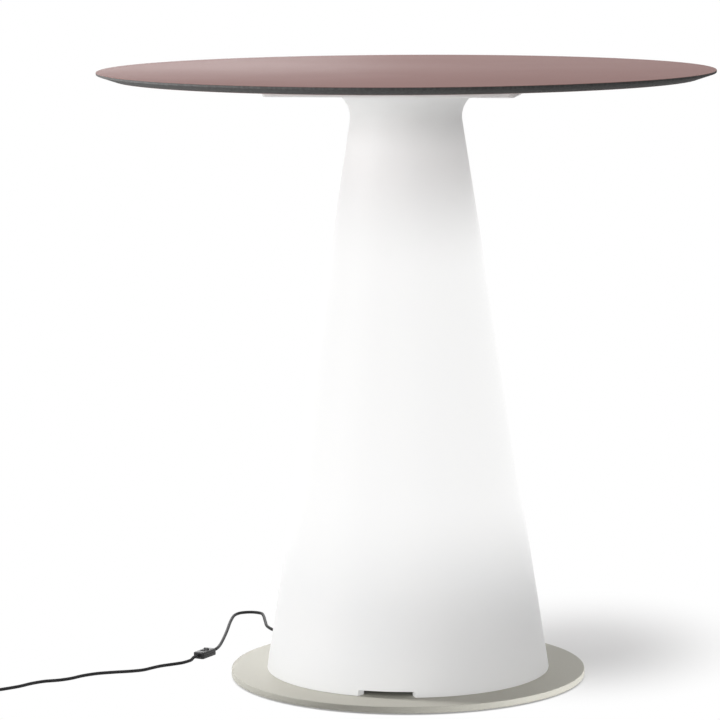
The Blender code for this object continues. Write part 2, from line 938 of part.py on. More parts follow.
def smooth_line(points, count):
    """Evenly spaced points on a centripetal spline from the second point to the last but one."""
    dense = []
    for before, first, second, after in zip(points, points[1:], points[2:], points[3:]):
        knots = [0.0]
        for a, b in ((before, first), (first, second), (second, after)):
            knots.append(knots[-1] + math.sqrt((b - a).length))
        for k in range(spline_samples):
            t = knots[1] + (knots[2] - knots[1]) * k / spline_samples
            near = [
                a.lerp(b, (t - start) / (end - start))
                for a, b, start, end in (
                    (before, first, knots[0], knots[1]),
                    (first, second, knots[1], knots[2]),
                    (second, after, knots[2], knots[3]),
                )
            ]
            left = near[0].lerp(near[1], (t - knots[0]) / (knots[2] - knots[0]))
            right = near[1].lerp(near[2], (t - knots[1]) / (knots[3] - knots[1]))
            dense.append(left.lerp(right, (t - knots[1]) / (knots[2] - knots[1])))
    dense.append(points[-2].copy())
    lengths = [0.0]
    for a, b in zip(dense, dense[1:]):
        lengths.append(lengths[-1] + (b - a).length)
    line = []
    at = 0
    for k in range(count):
        wanted = lengths[-1] * k / (count - 1)
        while at < len(dense) - 2 and lengths[at + 1] < wanted:
            at += 1
        span = lengths[at + 1] - lengths[at]
        line.append(dense[at].lerp(dense[at + 1], min(1.0, (wanted - lengths[at]) / span)))
    return line


def line_length(points):
    return sum((b - a).length for a, b in zip(points, points[1:]))


def laid_line(start, start_way, route, end, end_way, count):
    """The lead's centre line: straight out of its start, through the route, straight into its end."""
    straight = end_straight_diameters * cord_diameter
    middle = [Vector((x, y, height + cord_radius)) for x, y, height in route]
    points = [start, start + straight * start_way, *middle, end - straight * end_way, end]
    line = [start, *smooth_line(points, count - 2), end]
    for point in line:
        point.z = max(point.z, cord_radius)
    return line


def make_inner_cord(material):
    """Lead from the strain relief along the base, through the lamp foot and up inside the post."""
    run_height = disc_top + seat_gap + cord_radius
    start = Vector((0, relief_root_y - seat_gap, relief_axis_height))
    level = lamp_foot_radius + overrun
    half_way = Vector((0, (start.y + level) / 2, (start.z + run_height) / 2))
    points = [start, half_way, Vector((0, level, run_height))]
    bend = inner_bend_radius
    for k in range(bend_steps + 1):
        angle = math.tau / 4 * k / bend_steps
        height = run_height + bend * (1 - math.cos(angle))
        points.append(Vector((0, bend * (1 - math.sin(angle)), height)))
    points.append(Vector((0, 0, post_top - board_top_inset)))
    tube_along("inner_cord", points, material, cord_sides)


def make_lead(material):
    """Lead from the strain relief, round the base on the floor, to the switch."""
    start = Vector((0, relief_tip_y + seat_gap, relief_axis_height))
    way = switch_way()
    end = switch_middle() + way * (switch_length / 2 + seat_gap)
    line = laid_line(start, Vector((0, 1, 0)), lead_route, end, -way, lead_points)
    tube_along("cord_lead", line, material, cord_sides)
    return line_length(line)


def make_tail(material):
    """Lead from the switch out to the coil."""
    way = switch_way()
    start = switch_middle() - way * (switch_length / 2 + seat_gap)
    end_way = heading_way(coil_entry_heading)
    end = coil_start() - end_way * (cord_diameter + seat_gap)
    line = laid_line(start, -way, tail_route, end, end_way, tail_points)
    tube_along("cord_tail", line, material, cord_sides)
    return line_length(line)


def heading_way(heading):
    return Vector((math.cos(heading), math.sin(heading), 0))


# Coil of put-away lead, its tie and the plug-in supply


def coil_outer_radius():
    return coil_mean_radius + coil_pitch * coil_turns_in / 2


def coil_low_height():
    return tie_thickness + tie_clearance + cord_radius


def coil_start():
    return Vector((*coil_entry, coil_low_height()))


def coil_centre():
    way = heading_way(coil_entry_heading)
    return coil_start() + coil_outer_radius() * Vector((way.y, -way.x, 0))


def coil_first_angle():
    inward = coil_start() - coil_centre()
    return math.atan2(inward.y, inward.x)


def coil_line():
    """Clockwise spiral in on the floor layer, up a layer where it reverses, and out again on top."""
    centre = coil_centre()
    turns = coil_turns_in + coil_turns_climbing + coil_turns_out
    count = round(turns * coil_points_per_turn)
    middle = coil_turns_in + coil_turns_climbing / 2
    points = []
    for k in range(count + 1):
        turn = turns * k / count
        angle = coil_first_angle() - math.tau * turn
        radius = coil_outer_radius() - coil_pitch * (middle - abs(turn - middle))
        climb = min(1.0, max(0.0, (turn - coil_turns_in) / coil_turns_climbing))
        height = coil_pitch * climb * climb * (3 - 2 * climb)
        points.append(centre + Vector((radius * math.cos(angle), radius * math.sin(angle), height)))
    entry_way = heading_way(coil_entry_heading)
    exit_way = coil_exit_way()
    return [points[0] - cord_diameter * entry_way, *points, points[-1] + coil_exit_straight * exit_way]


def coil_exit_way():
    turns = coil_turns_in + coil_turns_climbing + coil_turns_out
    return heading_way(coil_entry_heading - math.tau * turns)


def least_gap(points):
    """Smallest clear distance between two stretches of the coil."""
    fine = [a.lerp(b, k / 4) for a, b in zip(points, points[1:]) for k in range(4)]
    places = [0.0]
    for a, b in zip(fine, fine[1:]):
        places.append(places[-1] + (b - a).length)
    apart = [
        (fine[i] - fine[j]).length
        for i in range(len(fine))
        for j in range(i)
        if places[i] - places[j] > gap_test_diameters * cord_diameter
    ]
    return min(apart) - cord_diameter


def make_coil(cord, tie):
    line = coil_line()
    tube_along("cord_coil", line, cord, coil_sides)
    inner = coil_outer_radius() - coil_pitch * (coil_turns_in + coil_turns_climbing / 2)
    low = inner - cord_radius - tie_clearance
    high = coil_outer_radius() + cord_radius + tie_clearance
    width = high - low
    height = 2 * cord_radius + coil_pitch + 2 * tie_clearance
    middle = ((low + high) / 2, tie_thickness + height / 2)
    rings = []
    for along, grow in ((-1, 0), (-1, 1), (1, 1), (1, 0)):
        outline = rounded_rectangle(
            width + 2 * grow * tie_thickness,
            height + 2 * grow * tie_thickness,
            tie_corner + grow * tie_thickness,
        )
        rings.append([Vector((middle[0] + p.x, along * tie_width / 2, middle[1] + p.y)) for p in outline])
    band = add_object("coil_tie", mesh_from_rings("coil_tie", rings, closed=True), tie)
    centre = coil_centre()
    band.location = (centre.x, centre.y, 0)
    band.rotation_euler = (0, 0, coil_first_angle() + tie_angle)
    return line_length(line), least_gap(line)


def make_adapter(black, metal):
    """Plug-in supply lying on the floor beyond the coil, its pins pointing away from the lead."""
    exit_way = coil_exit_way()
    end = coil_line()[-1]
    frame = bpy.data.objects.new("adapter_frame", None)
    bpy.context.scene.collection.objects.link(frame)
    frame.location = (end.x + seat_gap * exit_way.x, end.y + seat_gap * exit_way.y, 0)
    frame.rotation_euler = (0, 0, math.atan2(exit_way.y, exit_way.x))
    lead_height = coil_low_height() + coil_pitch
    body_start = adapter_boss_length
    split = body_start + adapter_length - adapter_face_length
    body = adapter_block("adapter_body", body_start, split, black, frame, rounded_start=True)
    boss = [(0, 0), (adapter_boss_tip_radius, 0)]
    boss += [(adapter_boss_radius, adapter_boss_length - adapter_boss_tip_radius)]
    boss += [(adapter_boss_radius, adapter_boss_length + overrun), (0, adapter_boss_length + overrun)]
    sleeve = add_object("adapter_boss", turned("adapter_boss", boss, small_segments), parent=frame)
    sleeve.location = (0, 0, lead_height)
    sleeve.rotation_euler = (0, math.tau / 4, 0)
    boolean(body, sleeve, "UNION")
    face_end = body_start + adapter_length
    face = adapter_block("adapter_face", split + seat_gap, face_end, black, frame, rounded_start=False)
    holes = bmesh.new()
    middle = adapter_height / 2
    for side in (-1, 1):
        bmesh.ops.create_cone(
            holes,
            cap_ends=True,
            segments=small_segments,
            radius1=pin_radius + seat_gap,
            radius2=pin_radius + seat_gap,
            depth=pin_root + seat_gap + overrun,
            matrix=Matrix.Translation(
                (face_end + (overrun - pin_root - seat_gap) / 2, side * pin_spacing / 2, middle)
            )
            @ Matrix.Rotation(math.tau / 4, 4, "Y"),
        )
    mesh = bpy.data.meshes.new("adapter_pin_holes")
    holes.to_mesh(mesh)
    holes.free()
    boolean(face, add_object("adapter_pin_holes", mesh, parent=frame))
    profile = [(0, -pin_root), (pin_radius, -pin_root), (pin_radius, 0), (pin_sleeve_radius, 0)]
    profile += [(pin_sleeve_radius, pin_sleeve_length), (pin_radius, pin_sleeve_length)]
    profile += [(pin_radius, pin_length - pin_tip_round), (pin_radius - pin_tip_round, pin_length)]
    profile.append((0, pin_length))
    pin = turned("adapter_pin", profile, small_segments)
    for number, side in enumerate((-1, 1), 1):
        placed = add_object(f"adapter_pin_{number}", pin, metal, frame)
        placed.location = (face_end, side * pin_spacing / 2, middle)
        placed.rotation_euler = (0, math.tau / 4, 0)


def adapter_block(name, start, end, material, frame, rounded_start):
    """One half of the supply's case: rounded section along X, drawn in at its outer end."""
    rings = []
    for k in range(round_steps + 1):
        angle = math.tau / 4 * k / round_steps
        draw_in = adapter_edge_round * (1 - math.sin(angle))
        along = adapter_edge_round * (1 - math.cos(angle))
        rings.append((start + along if rounded_start else end - along, draw_in))
    rings.append((end if rounded_start else start, 0.0))
    sections = []
    for along, draw_in in rings:
        outline = rounded_rectangle(
            adapter_width - 2 * draw_in, adapter_height - 2 * draw_in, adapter_corner - draw_in
        )
        sections.append([Vector((along, p.x, adapter_height / 2 + p.y)) for p in outline])
    return add_object(name, mesh_from_rings(name, sections), material, frame)


# In-line switch


def switch_way():
    return heading_way(switch_heading)


def switch_middle():
    """Centre of the switch at the height where the lead enters it."""
    return Vector((*switch_place, switch_base_height))


def make_switch(black, metal):
    frame = bpy.data.objects.new("switch_frame", None)
    bpy.context.scene.collection.objects.link(frame)
    frame.location = (*switch_place, 0)
    frame.rotation_euler = (0, 0, switch_heading)
    make_switch_base(black, frame)
    make_switch_cover(black, frame)
    make_rocker(black, frame)
    screw = screw_mesh(
        "switch_screw",
        switch_screw_radius,
        switch_screw_length,
        switch_screw_head_radius,
        switch_screw_head_height,
        switch_screw_key,
    )
    placed = add_object("switch_screw", screw, metal, frame)
    placed.location = (*switch_screw_place(), switch_screw_seat())
    placed.rotation_euler = (math.pi, 0, 0)


def switch_screw_place():
    return (-switch_length / 2 + switch_screw_inset, 0.0)


def switch_screw_seat():
    return switch_screw_head_height + 2 * seat_gap


def window_size():
    grow = 2 * rocker_clearance
    return rocker_length + grow, rocker_width + grow


def make_switch_base(material, frame):
    """Tray with two bearing posts under the rocker's trunnions and a boss for the screw."""
    rings = plate_rings(
        switch_length, switch_width, switch_corner, 0.0, switch_base_height, switch_edge_round
    )
    upright = rounded_rectangle(switch_length, switch_width, switch_corner, switch_base_height)
    rings = [*rings[: len(rings) // 2], upright]
    base = add_object("switch_base", mesh_from_rings("switch_base", rings), material, frame)
    inner_length = switch_length - 2 * switch_wall
    inner_width = switch_width - 2 * switch_wall
    tray = plate_rings(
        inner_length,
        inner_width,
        switch_corner - switch_wall,
        switch_floor,
        switch_base_height + overrun,
    )
    boolean(base, add_object("switch_tray", mesh_from_rings("switch_tray", tray), parent=frame))
    post_reach = trunnion_radius
    window_y = window_size()[1] / 2
    post_top = rocker_pivot_height - trunnion_radius - seat_gap
    for number, side in enumerate((-1, 1), 1):
        near = side * (window_y + seat_gap)
        far = side * (rocker_width / 2 + trunnion_length)
        low = (-post_reach, min(near, far), switch_floor / 2)
        high = (post_reach, max(near, far), post_top)
        post = add_object(f"bearing_post_{number}", box_mesh("bearing_post", low, high), parent=frame)
        boolean(base, post, "UNION")
    x, y = switch_screw_place()
    boss_radius = switch_screw_head_radius + seat_gap + switch_wall
    profile = [(0, switch_floor / 2), (boss_radius, switch_floor / 2), (boss_radius, switch_base_height)]
    profile.append((0, switch_base_height))
    boss = add_object("switch_boss", turned("switch_boss", profile, small_segments), parent=frame)
    boss.location = (x, y, 0)
    boolean(base, boss, "UNION")
    head = switch_screw_head_radius + seat_gap
    bore(base, [(x, y)], head, -overrun, switch_screw_seat() + seat_gap, small_segments)
    hole = switch_screw_radius + seat_gap
    bore(base, [(x, y)], hole, -overrun, switch_base_height + overrun, small_segments)


def make_switch_cover(material, frame):
    """Crowned top shell with the rocker's window and the slots that its trunnions turn in."""
    low = switch_base_height + seat_gap
    high = low + switch_cover_height
    rings = [rounded_rectangle(switch_length, switch_width, switch_corner, low)]
    for k in range(crown_steps + 1):
        angle = math.tau / 4 * k / crown_steps
        draw_in = switch_edge_round * (1 - math.cos(angle))
        height = high - switch_edge_round * (1 - math.sin(angle))
        rings.append(
            rounded_rectangle(
                switch_length - 2 * draw_in, switch_width - 2 * draw_in, switch_corner - draw_in, height
            )
        )
    rise = switch_width / 4
    rings.append(
        rounded_rectangle(
            switch_length - 2 * rise, switch_width - 2 * rise, switch_corner / 2, high + switch_crown
        )
    )
    cover = add_object("switch_cover", mesh_from_rings("switch_cover", rings), material, frame)
    length, width = window_size()
    window = box_mesh(
        "switch_window",
        (-length / 2, -width / 2, low - overrun),
        (length / 2, width / 2, high + switch_crown + overrun),
    )
    boolean(cover, add_object("switch_window", window, parent=frame))
    reach = rocker_width / 2 + trunnion_length + seat_gap
    radius = trunnion_radius + seat_gap
    outline = [(-radius, low - overrun)]
    for k in range(slot_steps + 1):
        angle = math.pi * (1 - k / slot_steps)
        outline.append((radius * math.cos(angle), rocker_pivot_height + radius * math.sin(angle)))
    outline.append((radius, low - overrun))
    rings = [[Vector((x, y, z)) for x, z in outline] for y in (-reach, reach)]
    boolean(cover, add_object("trunnion_slots", mesh_from_rings("trunnion_slots", rings), parent=frame))
    hole_top = switch_screw_seat() + switch_screw_length + seat_gap
    hole = switch_screw_radius + seat_gap
    bore(cover, [switch_screw_place()], hole, low - overrun, hole_top, small_segments)


def make_rocker(material, frame):
    """Saddle-shaped rocker with round ends about its pivot and a trunnion on each side."""
    reach = rocker_length / 2
    low_angle = math.asin(rocker_depth / reach)
    high_angle = math.asin(rocker_end_height / reach)
    right = []
    for k in range(rocker_steps + 1):
        angle = -low_angle + (high_angle + low_angle) * k / rocker_steps
        right.append((reach * math.cos(angle), reach * math.sin(angle)))
    corner = right[-1][0]
    dip_fall = rocker_end_height - rocker_dip_height
    dip = [
        (corner * (1 - share), rocker_dip_height + dip_fall * (1 - share) ** 2)
        for share in dip_shares[1:]
    ]
    half = right + dip
    outline = half + [(-x, z) for x, z in reversed(half[:-1])]
    rings = [[Vector((x, y, z)) for x, z in outline] for y in (-rocker_width / 2, rocker_width / 2)]
    rocker = add_object("switch_rocker", mesh_from_rings("switch_rocker", rings), material, frame)
    rocker.location = (0, 0, rocker_pivot_height)
    rocker.rotation_euler = (0, -rocker_tilt, 0)
    span = rocker_width + 2 * trunnion_length
    shape = bmesh.new()
    bmesh.ops.create_cone(
        shape,
        cap_ends=True,
        segments=small_segments,
        radius1=trunnion_radius,
        radius2=trunnion_radius,
        depth=span,
        matrix=Matrix.Rotation(math.tau / 4, 4, "X"),
    )
    mesh = bpy.data.meshes.new("rocker_trunnions")
    shape.to_mesh(mesh)
    shape.free()
    pin = add_object("rocker_trunnions", mesh, parent=frame)
    pin.location = (0, 0, rocker_pivot_height)
    boolean(rocker, pin, "UNION")


def main():
    clear_scene()
    laminate = finish("mauve_laminate", (0.37, 0.27, 0.255), 0.45)
    opal = finish("opal_polyethylene", (0.86, 0.86, 0.84), 0.5)
    painted = finish("sand_paint", (0.55, 0.54, 0.49), 0.5)
    zinc = finish("zinc_plated_steel", (0.62, 0.63, 0.64), 0.35, 1.0)
    brass = finish("brass", (0.70, 0.53, 0.28), 0.35, 1.0)
    felt = finish("grey_felt", (0.13, 0.13, 0.13), 0.95)
    aluminium = finish("aluminium", (0.75, 0.76, 0.77), 0.35, 1.0)
    tube_opal = finish("opal_polycarbonate", (0.92, 0.92, 0.90), 0.4)
    white = finish("white_plastic", (0.85, 0.85, 0.85), 0.45)
    board = finish("white_circuit_board", (0.80, 0.80, 0.78), 0.5)
    black = finish("black_plastic", (0.03, 0.03, 0.032), 0.45)
    sheath = finish("black_sheath", (0.03, 0.03, 0.03), 0.5)
    tie = finish("tie_nylon", (0.05, 0.05, 0.05), 0.6)
    make_tabletop(laminate)
    make_top_plate(painted)
    make_top_fasteners(zinc, brass)
    make_column(opal)
    make_base_disc(painted)
    make_base_screws(zinc, brass)
    make_pads(felt)
    make_lamp_foot(painted)
    make_lamp_post(aluminium)
    make_tube_and_cap(tube_opal, white)
    make_led_boards(board)
    make_lamp_screws(zinc)
    make_strain_relief(black)
    make_clamp(zinc, zinc)
    make_inner_cord(sheath)
    make_switch(black, zinc)
    lead = make_lead(sheath)
    tail = make_tail(sheath)
    coil, gap = make_coil(sheath, tie)
    make_adapter(black, zinc)
    bpy.context.view_layer.update()
    print(f"lead {lead:.3f} m, tail {tail:.3f} m, coil {coil:.3f} m, in all {lead + tail + coil:.3f} m")
    print(f"least gap in the coil {1000 * gap:.2f} mm")


main()
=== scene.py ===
"""Looks of a round cafe table whose moulded column lights up from inside, with its lead and its supply."""

import json
import math

import bpy
from mathutils import Matrix, Vector


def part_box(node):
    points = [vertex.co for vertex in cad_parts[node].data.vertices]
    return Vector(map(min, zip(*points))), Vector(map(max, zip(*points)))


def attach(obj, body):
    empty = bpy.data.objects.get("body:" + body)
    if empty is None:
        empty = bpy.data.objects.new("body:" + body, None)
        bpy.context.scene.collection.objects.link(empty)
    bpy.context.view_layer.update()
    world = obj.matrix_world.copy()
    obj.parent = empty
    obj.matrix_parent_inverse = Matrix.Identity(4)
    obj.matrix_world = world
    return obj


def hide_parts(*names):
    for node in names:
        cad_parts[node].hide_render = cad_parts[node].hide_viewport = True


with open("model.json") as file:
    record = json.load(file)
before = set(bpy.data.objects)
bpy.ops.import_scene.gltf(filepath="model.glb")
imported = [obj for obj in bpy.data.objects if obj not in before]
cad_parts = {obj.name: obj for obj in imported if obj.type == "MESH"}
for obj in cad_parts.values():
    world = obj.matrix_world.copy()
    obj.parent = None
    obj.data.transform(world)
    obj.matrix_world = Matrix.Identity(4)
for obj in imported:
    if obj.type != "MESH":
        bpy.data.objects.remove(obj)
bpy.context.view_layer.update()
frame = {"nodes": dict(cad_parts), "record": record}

# How far a cutter reaches past what it cuts, what counts as the same place, and how near points merge
OVERRUN, NEAR, WELD = 0.001, 1e-6, 1e-5

# Sizes of the table, in metres, as in the part
GAP = 0.0003
TOP_RADIUS, TOP_SURFACE, TOP_UNDERSIDE = 0.375, 0.7480, 0.7380
TOP_LAND, TOP_BEVEL_RUN, TOP_EASE = 0.0030, 0.021, 0.0007
DECOR = 0.0004
INSERT_RADIUS, INSERT_DEPTH = 0.0050, 0.0073
PLATE_SIDE, PLATE_LOW, PLATE_HIGH, PLATE_CORNER, PLATE_BORE = 0.280, 0.7337, 0.7377, 0.010, 0.050
COLUMN_LOW, COLUMN_HIGH, WALL = 0.0103, 0.7334, 0.005
FOOT_RADIUS, NECK_RADIUS, FLARE_RADIUS, FLARE_BURY = 0.1744, 0.0680, 0.032, 0.0005
FLANGE_SIDE, FLANGE_THICKNESS, FLANGE_CORNER, FLANGE_EASE = 0.300, 0.0105, 0.008, 0.0019
FLANGE_LOW = COLUMN_HIGH - FLANGE_THICKNESS
RIM_THICKNESS, RIM_HEIGHT = 0.013, 0.016
NOTCH_WIDTH, NOTCH_INNER_WIDTH, NOTCH_HEIGHT, NOTCH_CORNER = 0.073, 0.061, 0.0072, 0.0015
LUG_CIRCLE, LUG_RADIUS, LUG_HEIGHT = 0.1520, 0.012, 0.032
DISC_RADIUS, DISC_LOW, DISC_HIGH, DISC_EASE = 0.2185, 0.0020, 0.0100, 0.0009
PAD_RADIUS, PAD_HEIGHT = 0.014, 0.0017
TOP_SCREW_REACH, TOP_SCREW_HOLE, RECESS_RADIUS, RECESS_CEILING = 0.120, 0.0033, 0.0100, 0.7289
RELIEF_ROOT, RELIEF_TIP, RELIEF_HEIGHT = 0.1404, 0.1984, 0.0135

# Switch, with its own frame: X runs along the lead, away from the camera
SWITCH_TURN = math.radians(70.5)
SWITCH_FRAME = Matrix.Translation((-0.2699, 0.0609, 0)) @ Matrix.Rotation(SWITCH_TURN, 4, "Z")
SWITCH_LENGTH, SWITCH_WIDTH, SWITCH_SPLIT, COVER_HEIGHT = 0.0325, 0.0150, 0.0042, 0.0036
SWITCH_CORNER, SWITCH_EASE, SWITCH_WALL, SWITCH_FLOOR = 0.0026, 0.0009, 0.0013, 0.0012
SWITCH_SCREW_PLACE = (0.0050 - SWITCH_LENGTH / 2, 0)
SWITCH_SCREW_HOLE = 0.0014
PIVOT_HEIGHT, ROCKER_LENGTH, ROCKER_WIDTH, ROCKER_TILT = 0.0066, 0.0116, 0.0066, math.radians(9.0)
PIVOT_SLOT, TRUNNION_RADIUS, TRUNNION_REACH, WINDOW_CLEARANCE = 0.0011, 0.0008, 0.0011, 0.0004

# Supply, with its own frame: X runs from the end of the lead to the pins
SUPPLY_START, SUPPLY_SPLIT, SUPPLY_END = 0.019, 0.067, 0.079
SUPPLY_HALF_WIDTH, SUPPLY_HEIGHT, SUPPLY_CORNER, SUPPLY_EASE = 0.020, 0.027, 0.005, 0.0025
BOSS_TIP, BOSS_ROOT, BOSS_GROOVES = 0.0030, 0.0048, 5
PIN_RADIUS, PIN_SPACING, PIN_LENGTH, PIN_SLEEVE, PIN_BURIED = 0.0020, 0.0186, 0.0188, 0.0100, 0.0060

# Lead and its coil. The routes are places of the lead's underside.
CORD_DIAMETER = 0.0040
CORD_RADIUS = CORD_DIAMETER / 2
COIL_TURNS = (3.0, 0.5, 2.75)
COIL_MEAN_RADIUS, COIL_PITCH = 0.024, 0.0045
COIL_ENTRY, COIL_HEADING = Vector((-0.5050, -0.1910, 0.0033)), math.radians(-136.0)
COIL_STRAIGHT = 0.0140
INTO_BOSS = 0.0220
LEAD_ROUTE = [
    (-0.0030, 0.2420, 0.0056), (-0.0150, 0.2610, 0.0014), (-0.0400, 0.2730, 0), (-0.0760, 0.2690, 0),
    (-0.1120, 0.2490, 0), (-0.1480, 0.2250, 0), (-0.1800, 0.2120, 0), (-0.2050, 0.2150, 0),
    (-0.2220, 0.2380, 0), (-0.2325, 0.2740, 0), (-0.2415, 0.3080, 0), (-0.2471, 0.3214, 0),
    (-0.2605, 0.3272, 0), (-0.2739, 0.3214, 0), (-0.2795, 0.3080, 0), (-0.2780, 0.2700, 0),
    (-0.2715, 0.2150, 0), (-0.2660, 0.1640, 0), (-0.2625, 0.1230, 0),
]
TAIL_ROUTE = [
    (-0.2812, 0.0280, 0), (-0.2885, 0.0130, 0), (-0.3000, 0.0020, 0), (-0.3115, -0.0085, 0),
    (-0.3200, -0.0205, 0), (-0.3285, -0.0335, 0), (-0.3430, -0.0430, 0), (-0.3610, -0.0505, 0),
    (-0.3810, -0.0610, 0), (-0.3960, -0.0755, 0), (-0.4065, -0.0915, 0), (-0.4190, -0.1030, 0),
    (-0.4350, -0.1115, 0), (-0.4480, -0.1250, 0), (-0.4585, -0.1420, 0), (-0.4740, -0.1590, 0),
]

# Light inside the column: between which heights it glows, and over what height that fades
GLOW_LOW, GLOW_HIGH, GLOW_FADE = 0.1450, 0.5950, 0.095
# Heights between which the column's painted light and shade change: above the foot, at mid height and at the
# neck, where shade under the top is painted
FOOT_PAINTED_LIGHT, MIDDLE_PAINTED_LIGHT, NECK_PAINTED_SHADE = (0.01, 0.13), (0.3, 0.5), (0.65, 0.71)

# Floor: how white the camera sees it in the table's shadow and under the disc, and where that changes
FLOOR_RADIUS = 14.0
FLOOR_LIFT, UNDER_DISC_LIFT = 0.25, 0.25
SHADOW_STRETCH, SHADOW_SHIFT, SHADOW_EDGE = (1.5, 1, 1), (-0.30, -0.20, 0), (0.05, 0.36)
DISC_EDGE = (DISC_RADIUS - 0.004, DISC_RADIUS + 0.002)
WORLD_FILL = 0.20
WHITE = (1.0, 1.0, 1.0, 1.0)

# Lamps: place, aim, size and power. The disc has its own, and one more lights the edge of the top.
LAMPS = {
    "key": ((-2.35, -1.20, 0.70), (0, 0, 0.45), (2.0, 1.2), 19.5),
    "front_fill": ((0.2, -4.1, 1.0), (0, 0, 0.38), (2.4, 1.6), 27.0),
    "rear_sheen": ((-1.55, 4.5, 1.1), (-0.3, 0, 0.75), (1.5, 1.0), 16.0),
    "overhead": ((-0.8, 0.1, 4.2), (0, 0, 0), (4.0, 4.0), 188.0),
    "disc_left": ((-2.0, 0.34, 1.43), (0, 0, 0), (0.4, 0.4), 48.0),
    "disc_right": ((1.96, -0.40, 0.03), (0, 0, 0.006), (0.8, 0.05), 31.0),
    "disc_overhead": ((0.6, 0.1, 4.2), (0, 0, 0), (4.0, 4.0), 42.0),
    "edge_left": ((-1.5, -0.5, 0.35), (-0.2, -0.2, 0.74), (0.5, 0.3), 40.0),
}
ONLY_ON = dict.fromkeys(("disc_left", "disc_right", "disc_overhead"), "base_disc_skin")
ONLY_ON["edge_left"] = "tabletop_skin"
NOT_ON = dict.fromkeys(("key", "front_fill", "overhead"), "base_disc_skin")


# Finishes


class Flow:
    """A value on its way through a node tree. Sums and comparisons written with it add their Math nodes."""

    def __init__(self, nodes, socket):
        self.nodes = nodes
        self.socket = socket

    def __add__(self, other):
        return self.nodes.maths("ADD", self, other)

    def __sub__(self, other):
        return self.nodes.maths("SUBTRACT", self, other)

    def __rsub__(self, other):
        return self.nodes.maths("SUBTRACT", other, self)

    def __mul__(self, other):
        return self.nodes.maths("MULTIPLY", self, other)

    def __gt__(self, other):
        return self.nodes.maths("GREATER_THAN", self, other)

    def __abs__(self):
        return self.nodes.maths("ABSOLUTE", self)

    __radd__ = __add__
    __rmul__ = __mul__

    def step(self, low, high):
        """0 below low, 1 above high, and eased in between."""
        sockets = {"Value": self, "From Min": low, "From Max": high}
        return self.nodes.node("ShaderNodeMapRange", {"interpolation_type": "SMOOTHSTEP"}, sockets)


class Nodes:
    """The nodes of a finish or of the world."""

    def __init__(self, tree):
        self.tree = tree

    def node(self, kind, settings=None, sockets=None, outputs=(0,)):
        """Adds a node: settings first, then values or links of its sockets. Gives the outputs asked for."""
        made = self.tree.nodes.new(kind)
        for key, value in (settings or {}).items():
            setattr(made, key, value)
        for key, value in (sockets or {}).items():
            self.join(made.inputs[key], value)
        flows = [Flow(self, made.outputs[output]) for output in outputs]
        return flows if len(flows) > 1 else flows[0]

    def join(self, socket, value):
        """Links a value to a socket, or sets the socket to a number or a colour."""
        if isinstance(value, Flow):
            self.tree.links.new(value.socket, socket)
        else:
            socket.default_value = value

    def maths(self, operation, *values):
        return self.node("ShaderNodeMath", {"operation": operation}, dict(enumerate(values)))

    def seen_rays(self):
        """1 for the rays that show the background: the camera's, and those that gloss and glass pass on."""
        rays = ("Is Camera Ray", "Is Glossy Ray", "Is Transmission Ray")
        camera, gloss, through = self.node("ShaderNodeLightPath", outputs=rays)
        return self.maths("MAXIMUM", camera, self.maths("MAXIMUM", gloss, through))


class Finish(Nodes):
    """A procedural material built round one Principled shader. Constants go on the shader's own sockets."""

    def __init__(self, name, **constants):
        self.material = bpy.data.materials.new(name)
        self.material.use_nodes = True
        super().__init__(self.material.node_tree)
        self.shader = self.tree.nodes["Principled BSDF"]
        self.place = self.node("ShaderNodeTexCoord", outputs=["Object"])
        for key, value in constants.items():
            self.set(key.replace("_", " "), value)

    def set(self, name, value):
        self.join(self.shader.inputs[name], opaque(value))

    def at(self, scale=(1, 1, 1), place=(0, 0, 0)):
        """Object coordinates, stretched and moved."""
        sockets = {"Vector": self.place, "Location": place, "Scale": scale}
        return self.node("ShaderNodeMapping", None, sockets)

    def axes(self, vector=None):
        return self.node("ShaderNodeSeparateXYZ", None, {0: vector or self.place}, outputs="XYZ")

    def noise(self, scale, detail=2.0, roughness=0.5, vector=None):
        """Noise with features a little under 1 / scale metres across."""
        sockets = {"Vector": vector or self.place, "Scale": scale, "Detail": detail, "Roughness": roughness}
        return self.node("ShaderNodeTexNoise", None, sockets)

    def mix(self, share, first, second):
        """A colour between two colours."""
        sockets = {0: share, 6: opaque(first), 7: opaque(second)}
        return self.node("ShaderNodeMix", {"data_type": "RGBA"}, sockets, outputs=[2])

    def bump(self, height, distance, strength):
        sockets = {"Height": height, "Distance": distance, "Strength": strength}
        self.set("Normal", self.node("ShaderNodeBump", None, sockets))


def opaque(value):
    """A colour of three numbers, with its alpha; a number or a link stays as it is."""
    return (*value, 1.0) if isinstance(value, tuple) else value


